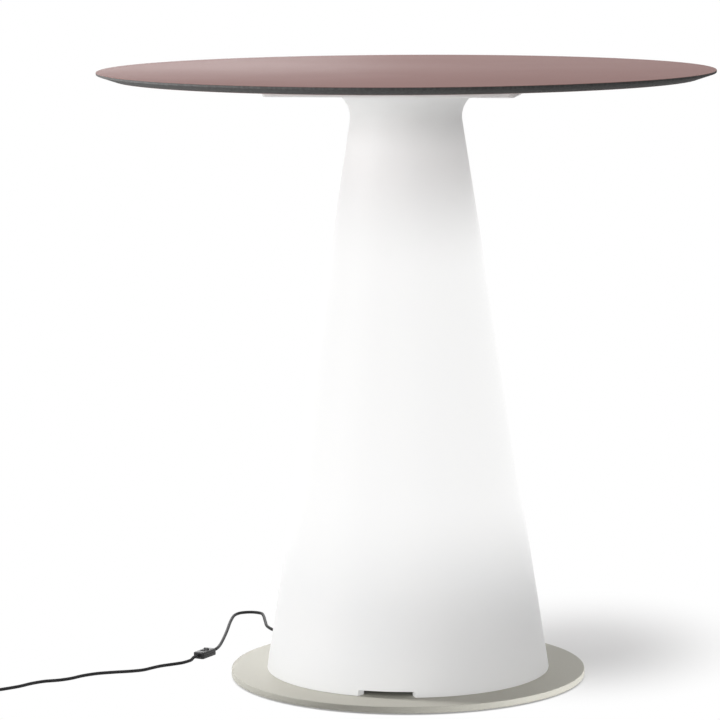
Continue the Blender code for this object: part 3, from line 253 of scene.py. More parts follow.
def make_laminate():
    """Matt mauve decor on both faces of a black core, with the fine pearl grain of a pressed sheet."""
    finish = Finish("mauve_laminate", Specular_IOR_Level=0.20)
    height = finish.axes()[2]
    middle = (TOP_SURFACE + TOP_UNDERSIDE) / 2
    half = (TOP_SURFACE - TOP_UNDERSIDE) / 2
    core = 1 - (abs(height - middle) > half - DECOR)
    grain = finish.noise(900.0).step(0.35, 0.65)
    cloud = finish.noise(7.0, 3.0).step(0.3, 0.7)
    decor = finish.mix(grain, (0.143, 0.065, 0.057), (0.165, 0.078, 0.069))
    decor = finish.mix(cloud * 0.20, decor, (0.136, 0.062, 0.054))
    saw = finish.noise(260.0, vector=finish.at(scale=(1, 1, 0.15))).step(0.3, 0.7)
    kraft = finish.mix(saw, (0.019, 0.0185, 0.018), (0.036, 0.035, 0.034))
    # The upright land of the edge is a lighter tone than the bevel below it.
    upright_land_tone = finish.mix(saw, (0.044, 0.043, 0.042), (0.062, 0.061, 0.060))
    kraft = finish.mix(height > TOP_SURFACE - TOP_LAND, kraft, upright_land_tone)
    finish.set("Base Color", finish.mix(core, decor, kraft))
    finish.set("Roughness", 0.49 + cloud * 0.02 + grain * 0.05 + core * 0.30)
    finish.bump(grain + core * saw * 3.0, 0.00002, 0.5)
    return finish.material


def make_opal():
    """Satin translucent moulding: a faint skin texture, and light from the strips inside it in the glow
    band. Around that it carries painted light and shade: a darker base with painted glow low down, painted
    shade at the neck and a painted dark inside.
    """
    finish = Finish("opal_polyethylene", Specular_IOR_Level=0.35, Emission_Strength=1.0)
    across, along, height = finish.axes()
    drift = finish.noise(9.0).step(0.3, 0.7)
    skin = finish.noise(420.0)
    lower = height.step(GLOW_LOW - GLOW_FADE, GLOW_LOW + GLOW_FADE)
    upper = 1 - height.step(GLOW_HIGH - GLOW_FADE, GLOW_HIGH + GLOW_FADE)
    glow = lower * upper
    # Below mid height the base is darker and the painted glow stronger, above it the reverse: painted light
    # and shade that even out the column's tones.
    head = height.step(*MIDDLE_PAINTED_LIGHT)
    # Painted shade at the neck, under the top: a darker base and no glow.
    neck_painted_shade = height.step(*NECK_PAINTED_SHADE)
    # The inner skin is painted dark, as shade, and gives no light.
    inside = painted_inside_shade(finish, across, along, height)
    # Darker base for the lower part: painted shade, paired with its painted glow.
    painted_foot_tone = finish.mix(drift, (0.705, 0.71, 0.71), (0.725, 0.725, 0.72))
    shade = finish.mix(head, painted_foot_tone, finish.mix(drift, (0.82, 0.825, 0.825), (0.84, 0.84, 0.835)))
    shade = finish.mix(neck_painted_shade, shade, (0.76, 0.76, 0.755))
    # In the glow band the base is painted dark, so that the glow sets its tone.
    shade = finish.mix(glow, shade, (0.135, 0.135, 0.134))
    finish.set("Base Color", finish.mix(inside, shade, (0.035, 0.035, 0.036)))
    finish.set("Roughness", 0.46 + skin * 0.12)
    # Glow outside the band: partly the inner light spreading, partly painted light, most at the foot, less
    # above mid height, none at the neck.
    light = finish.mix(height.step(*FOOT_PAINTED_LIGHT), (0.25,) * 3, (0.19,) * 3)
    light = finish.mix(head, light, (0.09,) * 3)
    light = finish.mix(neck_painted_shade, light, (0.0,) * 3)
    light = finish.mix(glow, light, (0.815, 0.815, 0.813))
    finish.set("Emission Color", finish.mix(inside, light, (0.0,) * 3))
    finish.bump(skin + drift * 4.0, 0.00003, 0.35)
    return finish.material


def painted_inside_shade(finish, across, along, height):
    """1 on the inner skin of the cone and its rim, which is painted dark as shade, 0 on the skin outside."""
    fall = (FOOT_RADIUS - NECK_RADIUS) / (FLANGE_LOW - FLARE_RADIUS - COLUMN_LOW)
    away = finish.maths("SQRT", across * across + along * along)
    depth = FOOT_RADIUS - fall * (height - COLUMN_LOW) - away
    rim_skin, wall_skin = RIM_THICKNESS * 0.93, WALL * 0.8
    skin_depth = rim_skin - (height > COLUMN_LOW + RIM_HEIGHT) * (rim_skin - wall_skin)
    return (depth > skin_depth) * (1 - (height > FLANGE_LOW - FLARE_RADIUS))


def make_grained(name, tones, scale, blur, shine, relief, finer=None, stretch=(1, 1, 1), **constants):
    """Two tones mixed by a grain. It, or a finer one, also gives the skin its roughness and relief."""
    finish = Finish(name, **constants)
    grain = finish.noise(scale, 3.0, vector=finish.at(scale=stretch)).step(0.5 - blur, 0.5 + blur)
    finish.set("Base Color", finish.mix(grain, *tones))
    skin = finish.noise(finer) if finer else grain
    least, more = shine
    finish.set("Roughness", least + skin * more)
    finish.bump(skin, *relief)
    return finish.material


def make_sand_paint():
    """Powder coat: orange-peel skin and a fine speckle."""
    tones = (0.54, 0.53, 0.47), (0.59, 0.58, 0.515)
    skin = (0.48, 0.10), (0.00006, 0.45), 520.0
    return make_grained("sand_paint", tones, 1500.0, 0.12, *skin, Specular_IOR_Level=0.15)


def make_black_plastic():
    """Black moulded plastic with a spark-eroded skin."""
    tones = (0.010, 0.010, 0.011), (0.018, 0.018, 0.019)
    skin = (0.32, 0.12), (0.00003, 0.25)
    return make_grained("black_plastic", tones, 2600.0, 0.2, *skin, Specular_IOR_Level=0.35)


def make_sheath():
    """Soft black sheath with slight flow marks."""
    finish = Finish("black_sheath", Specular_IOR_Level=0.12)
    marks = finish.noise(320.0, 3.0).step(0.3, 0.7)
    finish.set("Base Color", finish.mix(marks, (0.017, 0.017, 0.018), (0.027, 0.027, 0.028)))
    finish.set("Roughness", 0.42 + marks * 0.14)
    finish.bump(finish.noise(1400.0), 0.00003, 0.4)
    return finish.material


def make_metal(name, tones, least, scale=900.0, stretch=(1, 1, 1)):
    """Plated or drawn metal: mottled, with a fine grain that runs along the axis it is stretched on."""
    skin = (least, 0.14), (0.00002, 0.4)
    return make_grained(name, tones, scale, 0.25, *skin, stretch=stretch, Metallic=1.0)


def make_pin_metal():
    """Nickel pins whose first stretch wears a black sleeve."""
    finish = Finish("pin_nickel", Specular_IOR_Level=0.5)
    place = supply_frame()
    along = place.to_3x3() @ Vector((1, 0, 0))
    sockets = {0: finish.place, 1: tuple(along)}
    reach = finish.node("ShaderNodeVectorMath", {"operation": "DOT_PRODUCT"}, sockets, outputs=["Value"])
    sleeve_end = place @ Vector((SUPPLY_END + PIN_SLEEVE, 0, 0))
    sleeve = 1 - (reach > sleeve_end.dot(along))
    grain = finish.noise(1800.0, 3.0).step(0.3, 0.7)
    metal = finish.mix(grain, (0.60, 0.59, 0.56), (0.72, 0.71, 0.68))
    finish.set("Base Color", finish.mix(sleeve, metal, (0.02, 0.02, 0.021)))
    finish.set("Metallic", 1 - sleeve)
    finish.set("Roughness", 0.24 + grain * 0.12 + sleeve * 0.20)
    return finish.material


def make_felt():
    """Pressed grey felt."""
    finish = Finish("grey_felt", Specular_IOR_Level=0.1, Roughness=0.95)
    fibres = finish.noise(1600.0, 6.0, 0.7).step(0.3, 0.7)
    finish.set("Base Color", finish.mix(fibres, (0.045, 0.045, 0.047), (0.15, 0.15, 0.155)))
    finish.bump(fibres, 0.0003, 0.8)
    return finish.material


def make_tie_weave():
    """Narrow hook-and-loop band: a close weave over black nylon."""
    finish = Finish("tie_nylon", Specular_IOR_Level=0.3)
    settings = {"wave_type": "BANDS", "bands_direction": "DIAGONAL"}
    sockets = {"Vector": finish.place, "Scale": 900.0, "Distortion": 1.5}
    weft = finish.node("ShaderNodeTexWave", settings, sockets)
    fuzz = finish.noise(4200.0, 3.0)
    thread = weft * 0.6 + fuzz * 0.4
    finish.set("Base Color", finish.mix(thread, (0.018, 0.018, 0.020), (0.060, 0.060, 0.064)))
    finish.set("Roughness", 0.72 + fuzz * 0.2)
    finish.bump(weft + fuzz, 0.0001, 0.7)
    return finish.material


def make_white_plastic(name, tones, **glow):
    """White moulded or frosted plastic; glow is the light that it passes on."""
    skin = (0.36, 0.18), (0.00003, 0.4), 1500.0
    return make_grained(name, tones, 40.0, 0.12, *skin, Specular_IOR_Level=0.4, **glow)


# Modelling


def pick(piece):
    """Makes a piece the only one selected, and active."""
    bpy.ops.object.select_all(action="DESELECT")
    piece.select_set(True)
    bpy.context.view_layer.objects.active = piece


def begin(add, name, **where):
    """Adds a primitive with nothing else selected."""
    bpy.ops.object.select_all(action="DESELECT")
    add(**where)
    piece = bpy.context.object
    piece.name = name
    piece.data.name = name
    return piece


def draw_line(name, points):
    """A new piece in edit mode: one point, set at the first place and extruded to each of the others."""
    piece = begin(bpy.ops.mesh.primitive_plane_add, name)
    bpy.ops.object.mode_set(mode="EDIT")
    bpy.ops.mesh.select_mode(type="VERT")
    bpy.ops.mesh.select_all(action="SELECT")
    bpy.ops.mesh.merge(type="CENTER")
    bpy.ops.transform.translate(value=points[0])
    for last, point in zip(points, points[1:]):
        bpy.ops.mesh.extrude_region_move(TRANSFORM_OT_translate={"value": point - last})
    bpy.ops.mesh.select_all(action="SELECT")
    return piece


def lathe(name, profile, steps):
    """A turned piece: its profile, as radii and heights, spun round the upright axis."""
    piece = draw_line(name, [Vector((radius, 0, height)) for radius, height in profile])
    bpy.ops.mesh.spin(steps=steps, angle=math.tau, center=(0, 0, 0), axis=(0, 0, 1))
    bpy.ops.mesh.select_all(action="SELECT")
    bpy.ops.mesh.remove_doubles(threshold=WELD)
    bpy.ops.mesh.normals_make_consistent(inside=False)
    bpy.ops.object.mode_set(mode="OBJECT")
    return piece


def outline_block(name, outline, low, high):
    """A piece drawn as an outline in the XZ plane, filled, and extruded along Y from low to high."""
    piece = draw_line(name, [Vector((x, low, z)) for x, z in [*outline, outline[0]]])
    bpy.ops.mesh.remove_doubles(threshold=NEAR)
    bpy.ops.mesh.edge_face_add()
    bpy.ops.mesh.extrude_region_move(TRANSFORM_OT_translate={"value": (0, high - low, 0)})
    bpy.ops.mesh.select_all(action="SELECT")
    bpy.ops.mesh.normals_make_consistent(inside=False)
    bpy.ops.object.mode_set(mode="OBJECT")
    return piece


def block(name, low, high):
    """A box between two corners, as a start for a shaped piece."""
    low, high = Vector(low), Vector(high)
    piece = begin(bpy.ops.mesh.primitive_cube_add, name, size=1, location=(low + high) / 2)
    piece.scale = high - low
    return settle(piece)


def slab(name, half_x, half_y, low, high):
    """A box round the upright axis, between two heights."""
    return block(name, (-half_x, -half_y, low), (half_x, half_y, high))


def rod(name, radius, low, high, centre=(0, 0), steps=48):
    """An upright cylinder between two heights, as a cutter or as a start for a shaped piece."""
    where = {"radius": radius, "depth": high - low, "location": (*centre, (low + high) / 2)}
    return begin(bpy.ops.mesh.primitive_cylinder_add, name, vertices=steps, **where)


def settle(piece):
    """Puts the piece's place, turn and scale into its mesh."""
    pick(piece)
    bpy.ops.object.transform_apply(location=True, rotation=True, scale=True)
    return piece


def seat(piece, place):
    """Moves a piece that was made about the origin to its place."""
    piece.matrix_world = place
    return settle(piece)


def modify(piece, kind, **settings):
    """Adds a modifier and applies it."""
    pick(piece)
    modifier = piece.modifiers.new(kind.lower(), kind)
    for key, value in settings.items():
        setattr(modifier, key, value)
    bpy.ops.object.modifier_apply(modifier=modifier.name)


def cut(piece, cutter, operation="DIFFERENCE"):
    modify(piece, "BOOLEAN", operation=operation, solver="EXACT", object=cutter)
    bpy.data.objects.remove(cutter)


def drill(piece, centres, radius, low, high, steps=48):
    """Takes an upright cylinder out of a piece at each of the places."""
    for centre in centres:
        cut(piece, rod("drill", radius, low, high, centre, steps))


def round_edges(piece, width, segments=3, angle=30.0):
    """Rounds every edge that is sharper than an angle."""
    limit = {"limit_method": "ANGLE", "angle_limit": math.radians(angle)}
    modify(piece, "BEVEL", width=width, segments=segments, use_clamp_overlap=True, **limit)


def mark(piece, kind, wanted):
    """Goes into edit mode with only those edges or faces selected that are wanted."""
    pick(piece)
    bpy.ops.object.mode_set(mode="EDIT")
    bpy.ops.mesh.select_mode(type=kind)
    bpy.ops.mesh.select_all(action="DESELECT")
    bpy.ops.object.mode_set(mode="OBJECT")
    for element in piece.data.edges if kind == "EDGE" else piece.data.polygons:
        element.select = bool(wanted(element))
    bpy.ops.object.mode_set(mode="EDIT")


def ease(piece, wanted, width, segments):
    """Rounds the edges for which wanted(first end, second end) holds."""
    ends = [vertex.co.copy() for vertex in piece.data.vertices]
    mark(piece, "EDGE", lambda edge: wanted(*(ends[i] for i in edge.vertices)))
    bpy.ops.mesh.bevel(offset=width, segments=segments, affect="EDGES")
    bpy.ops.object.mode_set(mode="OBJECT")


def upright(first, second):
    """Wants the edges that stand upright."""
    return abs(first.z - second.z) > NEAR and (first - second).to_2d().length < NEAR


def edges_at(axis, place):
    """Wants the edges whose two ends lie at one place along an axis."""
    return lambda first, second: max(abs(first[axis] - place), abs(second[axis] - place)) < NEAR


def crown(piece, level, shares, rise):
    """Raises the middle of a piece's top face, so that it looks slightly domed."""
    mark(piece, "FACE", lambda face: face.normal.z > 0.99 and face.center.z > level - NEAR)
    bpy.ops.mesh.inset(thickness=0.0001)
    bpy.ops.transform.resize(value=(*shares, 1))
    bpy.ops.transform.translate(value=(0, 0, rise))
    bpy.ops.object.mode_set(mode="OBJECT")


def dress(piece, material, node, angle=30.0, place=None, body="table"):
    """Smooths a shape, seats it, gives it its material and body, and hides the CAD node it stands for."""
    pick(piece)
    bpy.ops.object.shade_smooth_by_angle(angle=math.radians(angle))
    if place:
        seat(piece, place)
    piece.data.materials.clear()
    piece.data.materials.append(material)
    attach(piece, body)
    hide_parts(node)
    return piece


def box_of(node):
    """Lowest and highest corner of a CAD node."""
    return [Vector(corner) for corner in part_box(node)]


# Table top, plate, column and disc


def top_screw_places():
    return [(x, y) for x in (-TOP_SCREW_REACH, TOP_SCREW_REACH) for y in (-TOP_SCREW_REACH, TOP_SCREW_REACH)]


def lug_places():
    angles = [math.pi / 4 + k * math.pi / 2 for k in range(4)]
    return [(LUG_CIRCLE * math.cos(angle), LUG_CIRCLE * math.sin(angle)) for angle in angles]


def build_tabletop(material):
    profile = [(0, TOP_SURFACE), (TOP_RADIUS, TOP_SURFACE), (TOP_RADIUS, TOP_SURFACE - TOP_LAND)]
    profile += [(TOP_RADIUS - TOP_BEVEL_RUN, TOP_UNDERSIDE), (0, TOP_UNDERSIDE)]
    top = lathe("tabletop_skin", profile, 256)
    round_edges(top, TOP_EASE, 3, 20.0)
    drill(top, top_screw_places(), INSERT_RADIUS, TOP_UNDERSIDE - OVERRUN, TOP_UNDERSIDE + INSERT_DEPTH)
    dress(top, material, "tabletop", 25.0)


def flare(inset, steps):
    """The foot point and flare arc of the column wall, at a depth of inset below the outer skin."""
    centre = (NECK_RADIUS + FLARE_RADIUS, FLANGE_LOW + FLARE_BURY - FLARE_RADIUS)
    across, up = centre[0] - FOOT_RADIUS, centre[1] - COLUMN_LOW
    bearing = math.atan2(up, across) + math.asin(FLARE_RADIUS / math.hypot(across, up))
    first = bearing + math.pi / 2
    foot = Vector((FOOT_RADIUS + inset * math.cos(first), COLUMN_LOW + inset * math.sin(first)))
    reach = FLARE_RADIUS + inset
    arc = []
    for k in range(steps + 1):
        angle = first + (math.pi / 2 - first) * k / steps
        arc.append((centre[0] + reach * math.cos(angle), centre[1] + reach * math.sin(angle)))
    return foot, Vector((math.cos(bearing), math.sin(bearing))), arc


def on_wall(foot, slope, height):
    return (foot.x + (height - foot.y) * slope.x / slope.y, height)


def build_column(material):
    """Hollow moulding: cone, flare and square flange in one, lugs in its foot, a notch front and rear."""
    foot, slope, arc = flare(0.0, 24)
    middle = (FLANGE_LOW + COLUMN_HIGH) / 2
    wall_heights = (0.0145, 0.022, 0.12, 0.24, 0.36, 0.48, 0.60)
    rim = [(FOOT_RADIUS - 0.0012, COLUMN_LOW), (FOOT_RADIUS - 0.0003, COLUMN_LOW + 0.0004)]
    rim.append(on_wall(foot, slope, COLUMN_LOW + 0.0013))
    outside = [(0, COLUMN_LOW), *rim, *(on_wall(foot, slope, height) for height in wall_heights), *arc]
    outside += [(NECK_RADIUS + FLARE_RADIUS, middle), (0, middle)]
    column = lathe("column_skin", outside, 192)
    flange = slab("flange", FLANGE_SIDE / 2, FLANGE_SIDE / 2, FLANGE_LOW, COLUMN_HIGH)
    ease(flange, upright, FLANGE_CORNER, 6)
    round_edges(flange, FLANGE_EASE, 4)
    cut(column, flange, "UNION")
    cut(column, column_cavity())
    for side in (-1, 1):
        cut(column, notch(side))
    drill(column, top_screw_places(), RECESS_RADIUS, FLANGE_LOW - OVERRUN, RECESS_CEILING)
    drill(column, top_screw_places(), TOP_SCREW_HOLE, RECESS_CEILING - OVERRUN, COLUMN_HIGH + OVERRUN, 32)
    dress(column, material, "column_shell", 24.0)


def column_cavity():
    """The space inside the column, with its four lugs left out."""
    foot, slope, arc = flare(WALL, 16)
    below = COLUMN_LOW - 2 * OVERRUN
    rim_top = COLUMN_LOW + RIM_HEIGHT
    inner = FOOT_RADIUS - RIM_THICKNESS
    inside = [(0, below), (inner, below), (inner, rim_top), on_wall(foot, slope, rim_top + 0.010)]
    cavity = lathe("cavity", [*inside, *arc, (0, arc[-1][1])], 96)
    drill(cavity, lug_places(), LUG_RADIUS, COLUMN_LOW - 6 * OVERRUN, COLUMN_LOW + LUG_HEIGHT)
    return cavity


def notch(side):
    """Cutter for one notch: its jambs splay outwards and its upper corners are eased."""
    past = 4 * OVERRUN
    outer, inner = side * (FOOT_RADIUS + past), side * (FOOT_RADIUS - RIM_THICKNESS - past)
    splay = (NOTCH_WIDTH - NOTCH_INNER_WIDTH) / 2 / RIM_THICKNESS
    cutter = slab("notch", 0.5, 0.5, 0, 1)
    for vertex in cutter.data.vertices:
        far = vertex.co.y * side > 0
        half = NOTCH_WIDTH / 2 + (past if far else past - abs(outer - inner)) * splay
        vertex.co.x = math.copysign(half, vertex.co.x)
        vertex.co.y = outer if far else inner
        vertex.co.z = COLUMN_LOW + (NOTCH_HEIGHT if vertex.co.z > 0.5 else -past)
    ridge = COLUMN_LOW + NOTCH_HEIGHT - NEAR
    ease(cutter, lambda a, b: min(a.z, b.z) > ridge and abs(a.y - b.y) > 0.01, NOTCH_CORNER, 4)
    return cutter


def build_disc(material):
    corners = [(DISC_RADIUS, DISC_LOW), (DISC_RADIUS, DISC_HIGH)]
    disc = lathe("base_disc_skin", [(0, DISC_LOW), *corners, (0, DISC_HIGH)], 224)
    round_edges(disc, DISC_EASE)
    head, shank, cone_low, cone_high, past = 0.0081, 0.0043, 0.0028, 0.0063, DISC_HIGH + 2 * OVERRUN
    for x, y in lug_places():
        turn = [(0, 0), (head, 0), (head, cone_low), (shank, cone_high), (shank, past), (0, past)]
        cut(disc, seat(lathe("well", turn, 48), Matrix.Translation((x, y, 0))))
    dress(disc, material, "base_disc", 25.0)


def build_top_plate(material):
    plate = slab("top_plate_skin", PLATE_SIDE / 2, PLATE_SIDE / 2, PLATE_LOW, PLATE_HIGH)
    ease(plate, upright, PLATE_CORNER, 8)
    ends = PLATE_LOW - OVERRUN, PLATE_HIGH + OVERRUN
    drill(plate, [(0, 0)], PLATE_BORE, *ends, 96)
    drill(plate, top_screw_places(), TOP_SCREW_HOLE, *ends)
    round_edges(plate, 0.0004, 2)
    dress(plate, material, "top_plate")


# Fasteners and pads


def screw_head(low, radius, edge, shank, under):
    """Outline of a flat head with an eased rim, from the middle of its face to the shank under it."""
    return [(0, low), (radius - 0.0002, low), (radius, low + 0.0002), (radius, edge), (shank, under)]


def threaded(shank, start, high, pitch, depth, end, point):
    """Outline of a thread up to its end, and of the screw's point."""
    turn = [(shank, start)]
    while start + pitch < end:
        turn += [(shank - depth, start + pitch * 0.5), (shank, start + pitch)]
        start += pitch
    return [*turn, (shank - point, high), (0, high)]


def spread(patterns):
    """Puts four copies of each fastener where its CAD nodes are, and takes the patterns away."""
    for number in range(1, 5):
        for piece, name, node, material, slot, angle in patterns:
            low, high = box_of(f"{node}_{number}")
            middle = (low + high) / 2
            made = piece.copy()
            made.data = piece.data.copy()
            made.name = made.data.name = f"{name}_{number}"
            made.data.transform(Matrix.Translation((middle.x, middle.y, 0)))
            bpy.context.scene.collection.objects.link(made)
            dress(made, material, f"{node}_{number}", angle)
    for pattern in patterns:
        bpy.data.objects.remove(pattern[0])


def build_top_fasteners(zinc):
    """Washers and button-head screws that clamp flange, plate and top."""
    low, high = box_of("tabletop_washer_1")
    outer = (high.x - low.x) / 2
    ring = [(TOP_SCREW_HOLE, low.z), (outer, low.z), (outer, high.z), (TOP_SCREW_HOLE, high.z)]
    washer = lathe("washer", [*ring, ring[0]], 64)
    round_edges(washer, 0.0002, 2)
    low, high = box_of("tabletop_screw_1")
    head, shank, button = (high.x - low.x) / 2, 0.0030, 0.0034
    rim = low.z + button
    turn = [(0, low.z), (head * 0.62, low.z), (head * 0.86, low.z + button * 0.22)]
    turn += [(head, low.z + button * 0.55), (head, rim), (shank, rim)]
    thread_start = rim + (high.z - rim) * 0.45
    turn += threaded(shank, thread_start, high.z, 0.0010, 0.0005, high.z - 0.0008, 0.0007)
    screw = lathe("machine_screw", turn, 40)
    cut(screw, rod("key", 0.0023, low.z - 0.0021, low.z + 0.0021, steps=6))
    washers = (washer, "top_washer", "tabletop_washer", zinc, "zinc", 30.0)
    spread([washers, (screw, "top_screw", "tabletop_screw", zinc, "zinc", 35.0)])


def build_base_fasteners(zinc, felt):
    """Countersunk screws that hold the disc, and the felt pads it stands on."""
    low, high = box_of("base_screw_1")
    head, shank = (high.x - low.x) / 2, 0.0040
    cone = low.z + 0.0005
    turn = screw_head(low.z, head, cone, shank, cone + 0.0035)
    turn += threaded(shank, cone + 0.0060, high.z, 0.00125, 0.0006, high.z - 0.001, 0.0008)
    screw = lathe("countersunk_screw", turn, 40)
    cut(screw, rod("key", 0.0029, low.z - 0.0024, low.z + 0.0024, steps=6))
    turn = [(0, 0), (PAD_RADIUS - 0.0004, 0), (PAD_RADIUS, 0.0004), (PAD_RADIUS, PAD_HEIGHT - 0.0003)]
    turn += [(PAD_RADIUS - 0.0003, PAD_HEIGHT), (0, PAD_HEIGHT)]
    pad = lathe("felt_pad", turn, 64)
    screws = (screw, "foot_screw", "base_screw", zinc, "zinc", 35.0)
    spread([screws, (pad, "foot_pad", "floor_pad", felt, "felt", 35.0)])


# Relief, switch and supply


def build_relief(material):
    """Tapered sleeve with flexing grooves all the way along its taper."""
    root, tip, root_length, count = 0.0032, 0.0024, 0.020, 9
    round_off, groove = 0.0003, 0.0005
    length = RELIEF_TIP - RELIEF_ROOT
    turn = [(0, 0), (root - round_off, 0), (root, round_off), (root, root_length)]
    pitch = (length - root_length) / (count + 0.5)
    for k in range(count):
        start = root_length + pitch * (k + 0.5)
        skin = root + (tip - root) * (start - root_length) / (length - root_length)
        turn += [(skin, start), (skin - groove, start + 0.0002), (skin - groove, start + pitch * 0.4)]
        turn.append((skin - 0.0001, start + pitch * 0.5))
    turn += [(tip, length - round_off), (tip - round_off, length), (0, length)]
    relief = lathe("relief_sleeve", turn, 40)
    place = Matrix.Translation((0, RELIEF_ROOT, RELIEF_HEIGHT)) @ Matrix.Rotation(-math.pi / 2, 4, "X")
    dress(relief, material, "strain_relief", 40.0, place)


def switch_shell(name, low, high, eased):
    """Half of the switch's case, its corners rounded and the edges of its outer face eased."""
    shell = slab(name, SWITCH_LENGTH / 2, SWITCH_WIDTH / 2, low, high)
    ease(shell, upright, SWITCH_CORNER, 8)
    ease(shell, edges_at(2, eased), SWITCH_EASE, 4)
    return shell


def build_switch_tray(material):
    """Hollow lower half, with a boss for the screw and two posts that carry the rocker."""
    tray = switch_shell("switch_tray_skin", 0, SWITCH_SPLIT, 0)
    length, width = SWITCH_LENGTH / 2 - SWITCH_WALL, SWITCH_WIDTH / 2 - SWITCH_WALL
    cut(tray, slab("hollow", length, width, SWITCH_FLOOR, SWITCH_SPLIT + OVERRUN))
    buried = SWITCH_FLOOR / 2
    cut(tray, rod("boss", 0.0037, buried, SWITCH_SPLIT, SWITCH_SCREW_PLACE), "UNION")
    near, far, half, high = 0.0041, 0.0044, 0.0008, 0.0055
    for low_y, high_y in ((-far, -near), (near, far)):
        cut(tray, block("post", (-half, low_y, buried), (half, high_y, high)), "UNION")
    drill(tray, [SWITCH_SCREW_PLACE], 0.0024, -OVERRUN, 0.0021)
    drill(tray, [SWITCH_SCREW_PLACE], SWITCH_SCREW_HOLE, -OVERRUN, SWITCH_SPLIT + OVERRUN)
    return dress(tray, material, "switch_base", place=SWITCH_FRAME)


def build_switch_cover(material):
    """Crowned upper half, with a window for the rocker and a slot for its trunnions."""
    low, high = SWITCH_SPLIT + GAP, SWITCH_SPLIT + GAP + COVER_HEIGHT
    cover = switch_shell("switch_cover_skin", low, high, high)
    crown(cover, high, (0.84, 0.66), 0.0005)
    below, above = low - OVERRUN, high + 2 * OVERRUN
    length, width = ROCKER_LENGTH / 2 + WINDOW_CLEARANCE, ROCKER_WIDTH / 2 + WINDOW_CLEARANCE
    cut(cover, slab("window", length, width, below, above))
    angles = [math.pi * k / 8 for k in range(9)]
    arch = [(-PIVOT_SLOT * math.cos(angle), PIVOT_HEIGHT + PIVOT_SLOT * math.sin(angle)) for angle in angles]
    slot = [(-PIVOT_SLOT, below), *arch, (PIVOT_SLOT, below)]
    cut(cover, outline_block("slot", slot, -0.0047, 0.0047))
    drill(cover, [SWITCH_SCREW_PLACE], SWITCH_SCREW_HOLE, below, 0.0071)
    round_edges(cover, 0.00012, 2, 40.0)
    return dress(cover, material, "switch_cover", place=SWITCH_FRAME)


def build_rocker(material):
    """Saddle-shaped rocker on two trunnions, at rest on one side."""
    reach, depth, rise, dip, steps = ROCKER_LENGTH / 2, 0.0012, 0.0036, 0.0022, 12
    start, stop = -math.asin(depth / reach), math.asin(rise / reach)
    angles = [start + (stop - start) * k / steps for k in range(steps + 1)]
    end = [(reach * math.cos(angle), reach * math.sin(angle)) for angle in angles]
    shares = [1 - k / steps for k in range(1, steps + 1)]
    half = end + [(end[-1][0] * share, dip + (rise - dip) * share**2) for share in shares]
    outline = half + [(-x, z) for x, z in reversed(half[:-1])]
    rocker = outline_block("rocker_skin", outline, -ROCKER_WIDTH / 2, ROCKER_WIDTH / 2)
    round_edges(rocker, 0.00045, 3, 50.0)
    pivot = Matrix.Translation((0, 0, PIVOT_HEIGHT))
    seat(rocker, pivot @ Matrix.Rotation(-ROCKER_TILT, 4, "Y"))
    reach = ROCKER_WIDTH / 2 + TRUNNION_REACH
    trunnion = rod("trunnion", TRUNNION_RADIUS, -reach, reach)
    cut(rocker, seat(trunnion, pivot @ Matrix.Rotation(math.pi / 2, 4, "X")), "UNION")
    return dress(rocker, material, "switch_rocker", place=SWITCH_FRAME, body="rocker")


def build_switch_screw(metal):
    """Cross-slotted screw that holds the switch together from below."""
    low, high = box_of("switch_screw")
    head, shank, shoulder = 0.0021, 0.0011, low.z + 0.0012
    turn = screw_head(low.z, head, shoulder, shank, shoulder)
    turn += [(shank, high.z - 0.0004), (0.0006, high.z), (0, high.z)]
    screw = lathe("switch_screw_skin", turn, 32)
    for turned in (0.0, math.pi / 2):
        slot = slab("cross", 0.0013, 0.00022, low.z - 0.0005, low.z + 0.0006)
        cut(screw, seat(slot, Matrix.Rotation(turned, 4, "Z")))
    place = SWITCH_FRAME @ Matrix.Translation((*SWITCH_SCREW_PLACE, 0))
    return dress(screw, metal, "switch_screw", place=place)


def build_supply(material, metal):
    """Plug-in supply: rounded case in two parts, grooved boss round the lead, and two sleeved pins."""
    body = case_block("supply_case", SUPPLY_START, SUPPLY_SPLIT, SUPPLY_START)
    boss_place = Matrix.Translation((0, 0, COIL_ENTRY.z + COIL_PITCH))
    cut(body, seat(make_boss(), boss_place @ Matrix.Rotation(math.pi / 2, 4, "Y")), "UNION")
    face = case_block("supply_face", SUPPLY_SPLIT + GAP, SUPPLY_END, SUPPLY_END)
    pins = []
    for number, side in enumerate((-1, 1), 1):
        place = Matrix.Translation((SUPPLY_END, side * PIN_SPACING / 2, SUPPLY_HEIGHT / 2))
        place = place @ Matrix.Rotation(math.pi / 2, 4, "Y")
        cut(face, seat(rod("pin_hole", PIN_RADIUS + GAP, -PIN_BURIED - GAP, 0.002), place))
        pin = seat(make_pin(f"supply_pin_{number}"), place)
        pins.append(dress(pin, metal, f"adapter_pin_{number}", 40.0, supply_frame()))
    for piece, node in ((body, "adapter_body"), (face, "adapter_face")):
        dress(piece, material, node, place=supply_frame())
    return [body, face, *pins]


def make_boss():
    """Tapered boss with grooves round it, from the lead's end into the case."""
    turn = [(0, 0), (BOSS_TIP - 0.0004, 0), (BOSS_TIP, 0.0004)]
    run, first, groove = SUPPLY_START - BOSS_ROOT + BOSS_TIP, 0.0022, 0.0007
    for k in range(BOSS_GROOVES):
        at = first + k * (run - first) / BOSS_GROOVES
        skin = BOSS_TIP + (BOSS_ROOT - BOSS_TIP) * at / run
        turn += [(skin, at), (skin - groove, at + 0.0003), (skin - groove, at + 0.0013), (skin, at + 0.0017)]
    buried = SUPPLY_START + 0.002
    turn += [(BOSS_ROOT, run + 0.0006), (BOSS_ROOT, buried), (0, buried)]
    return lathe("boss", turn, 40)


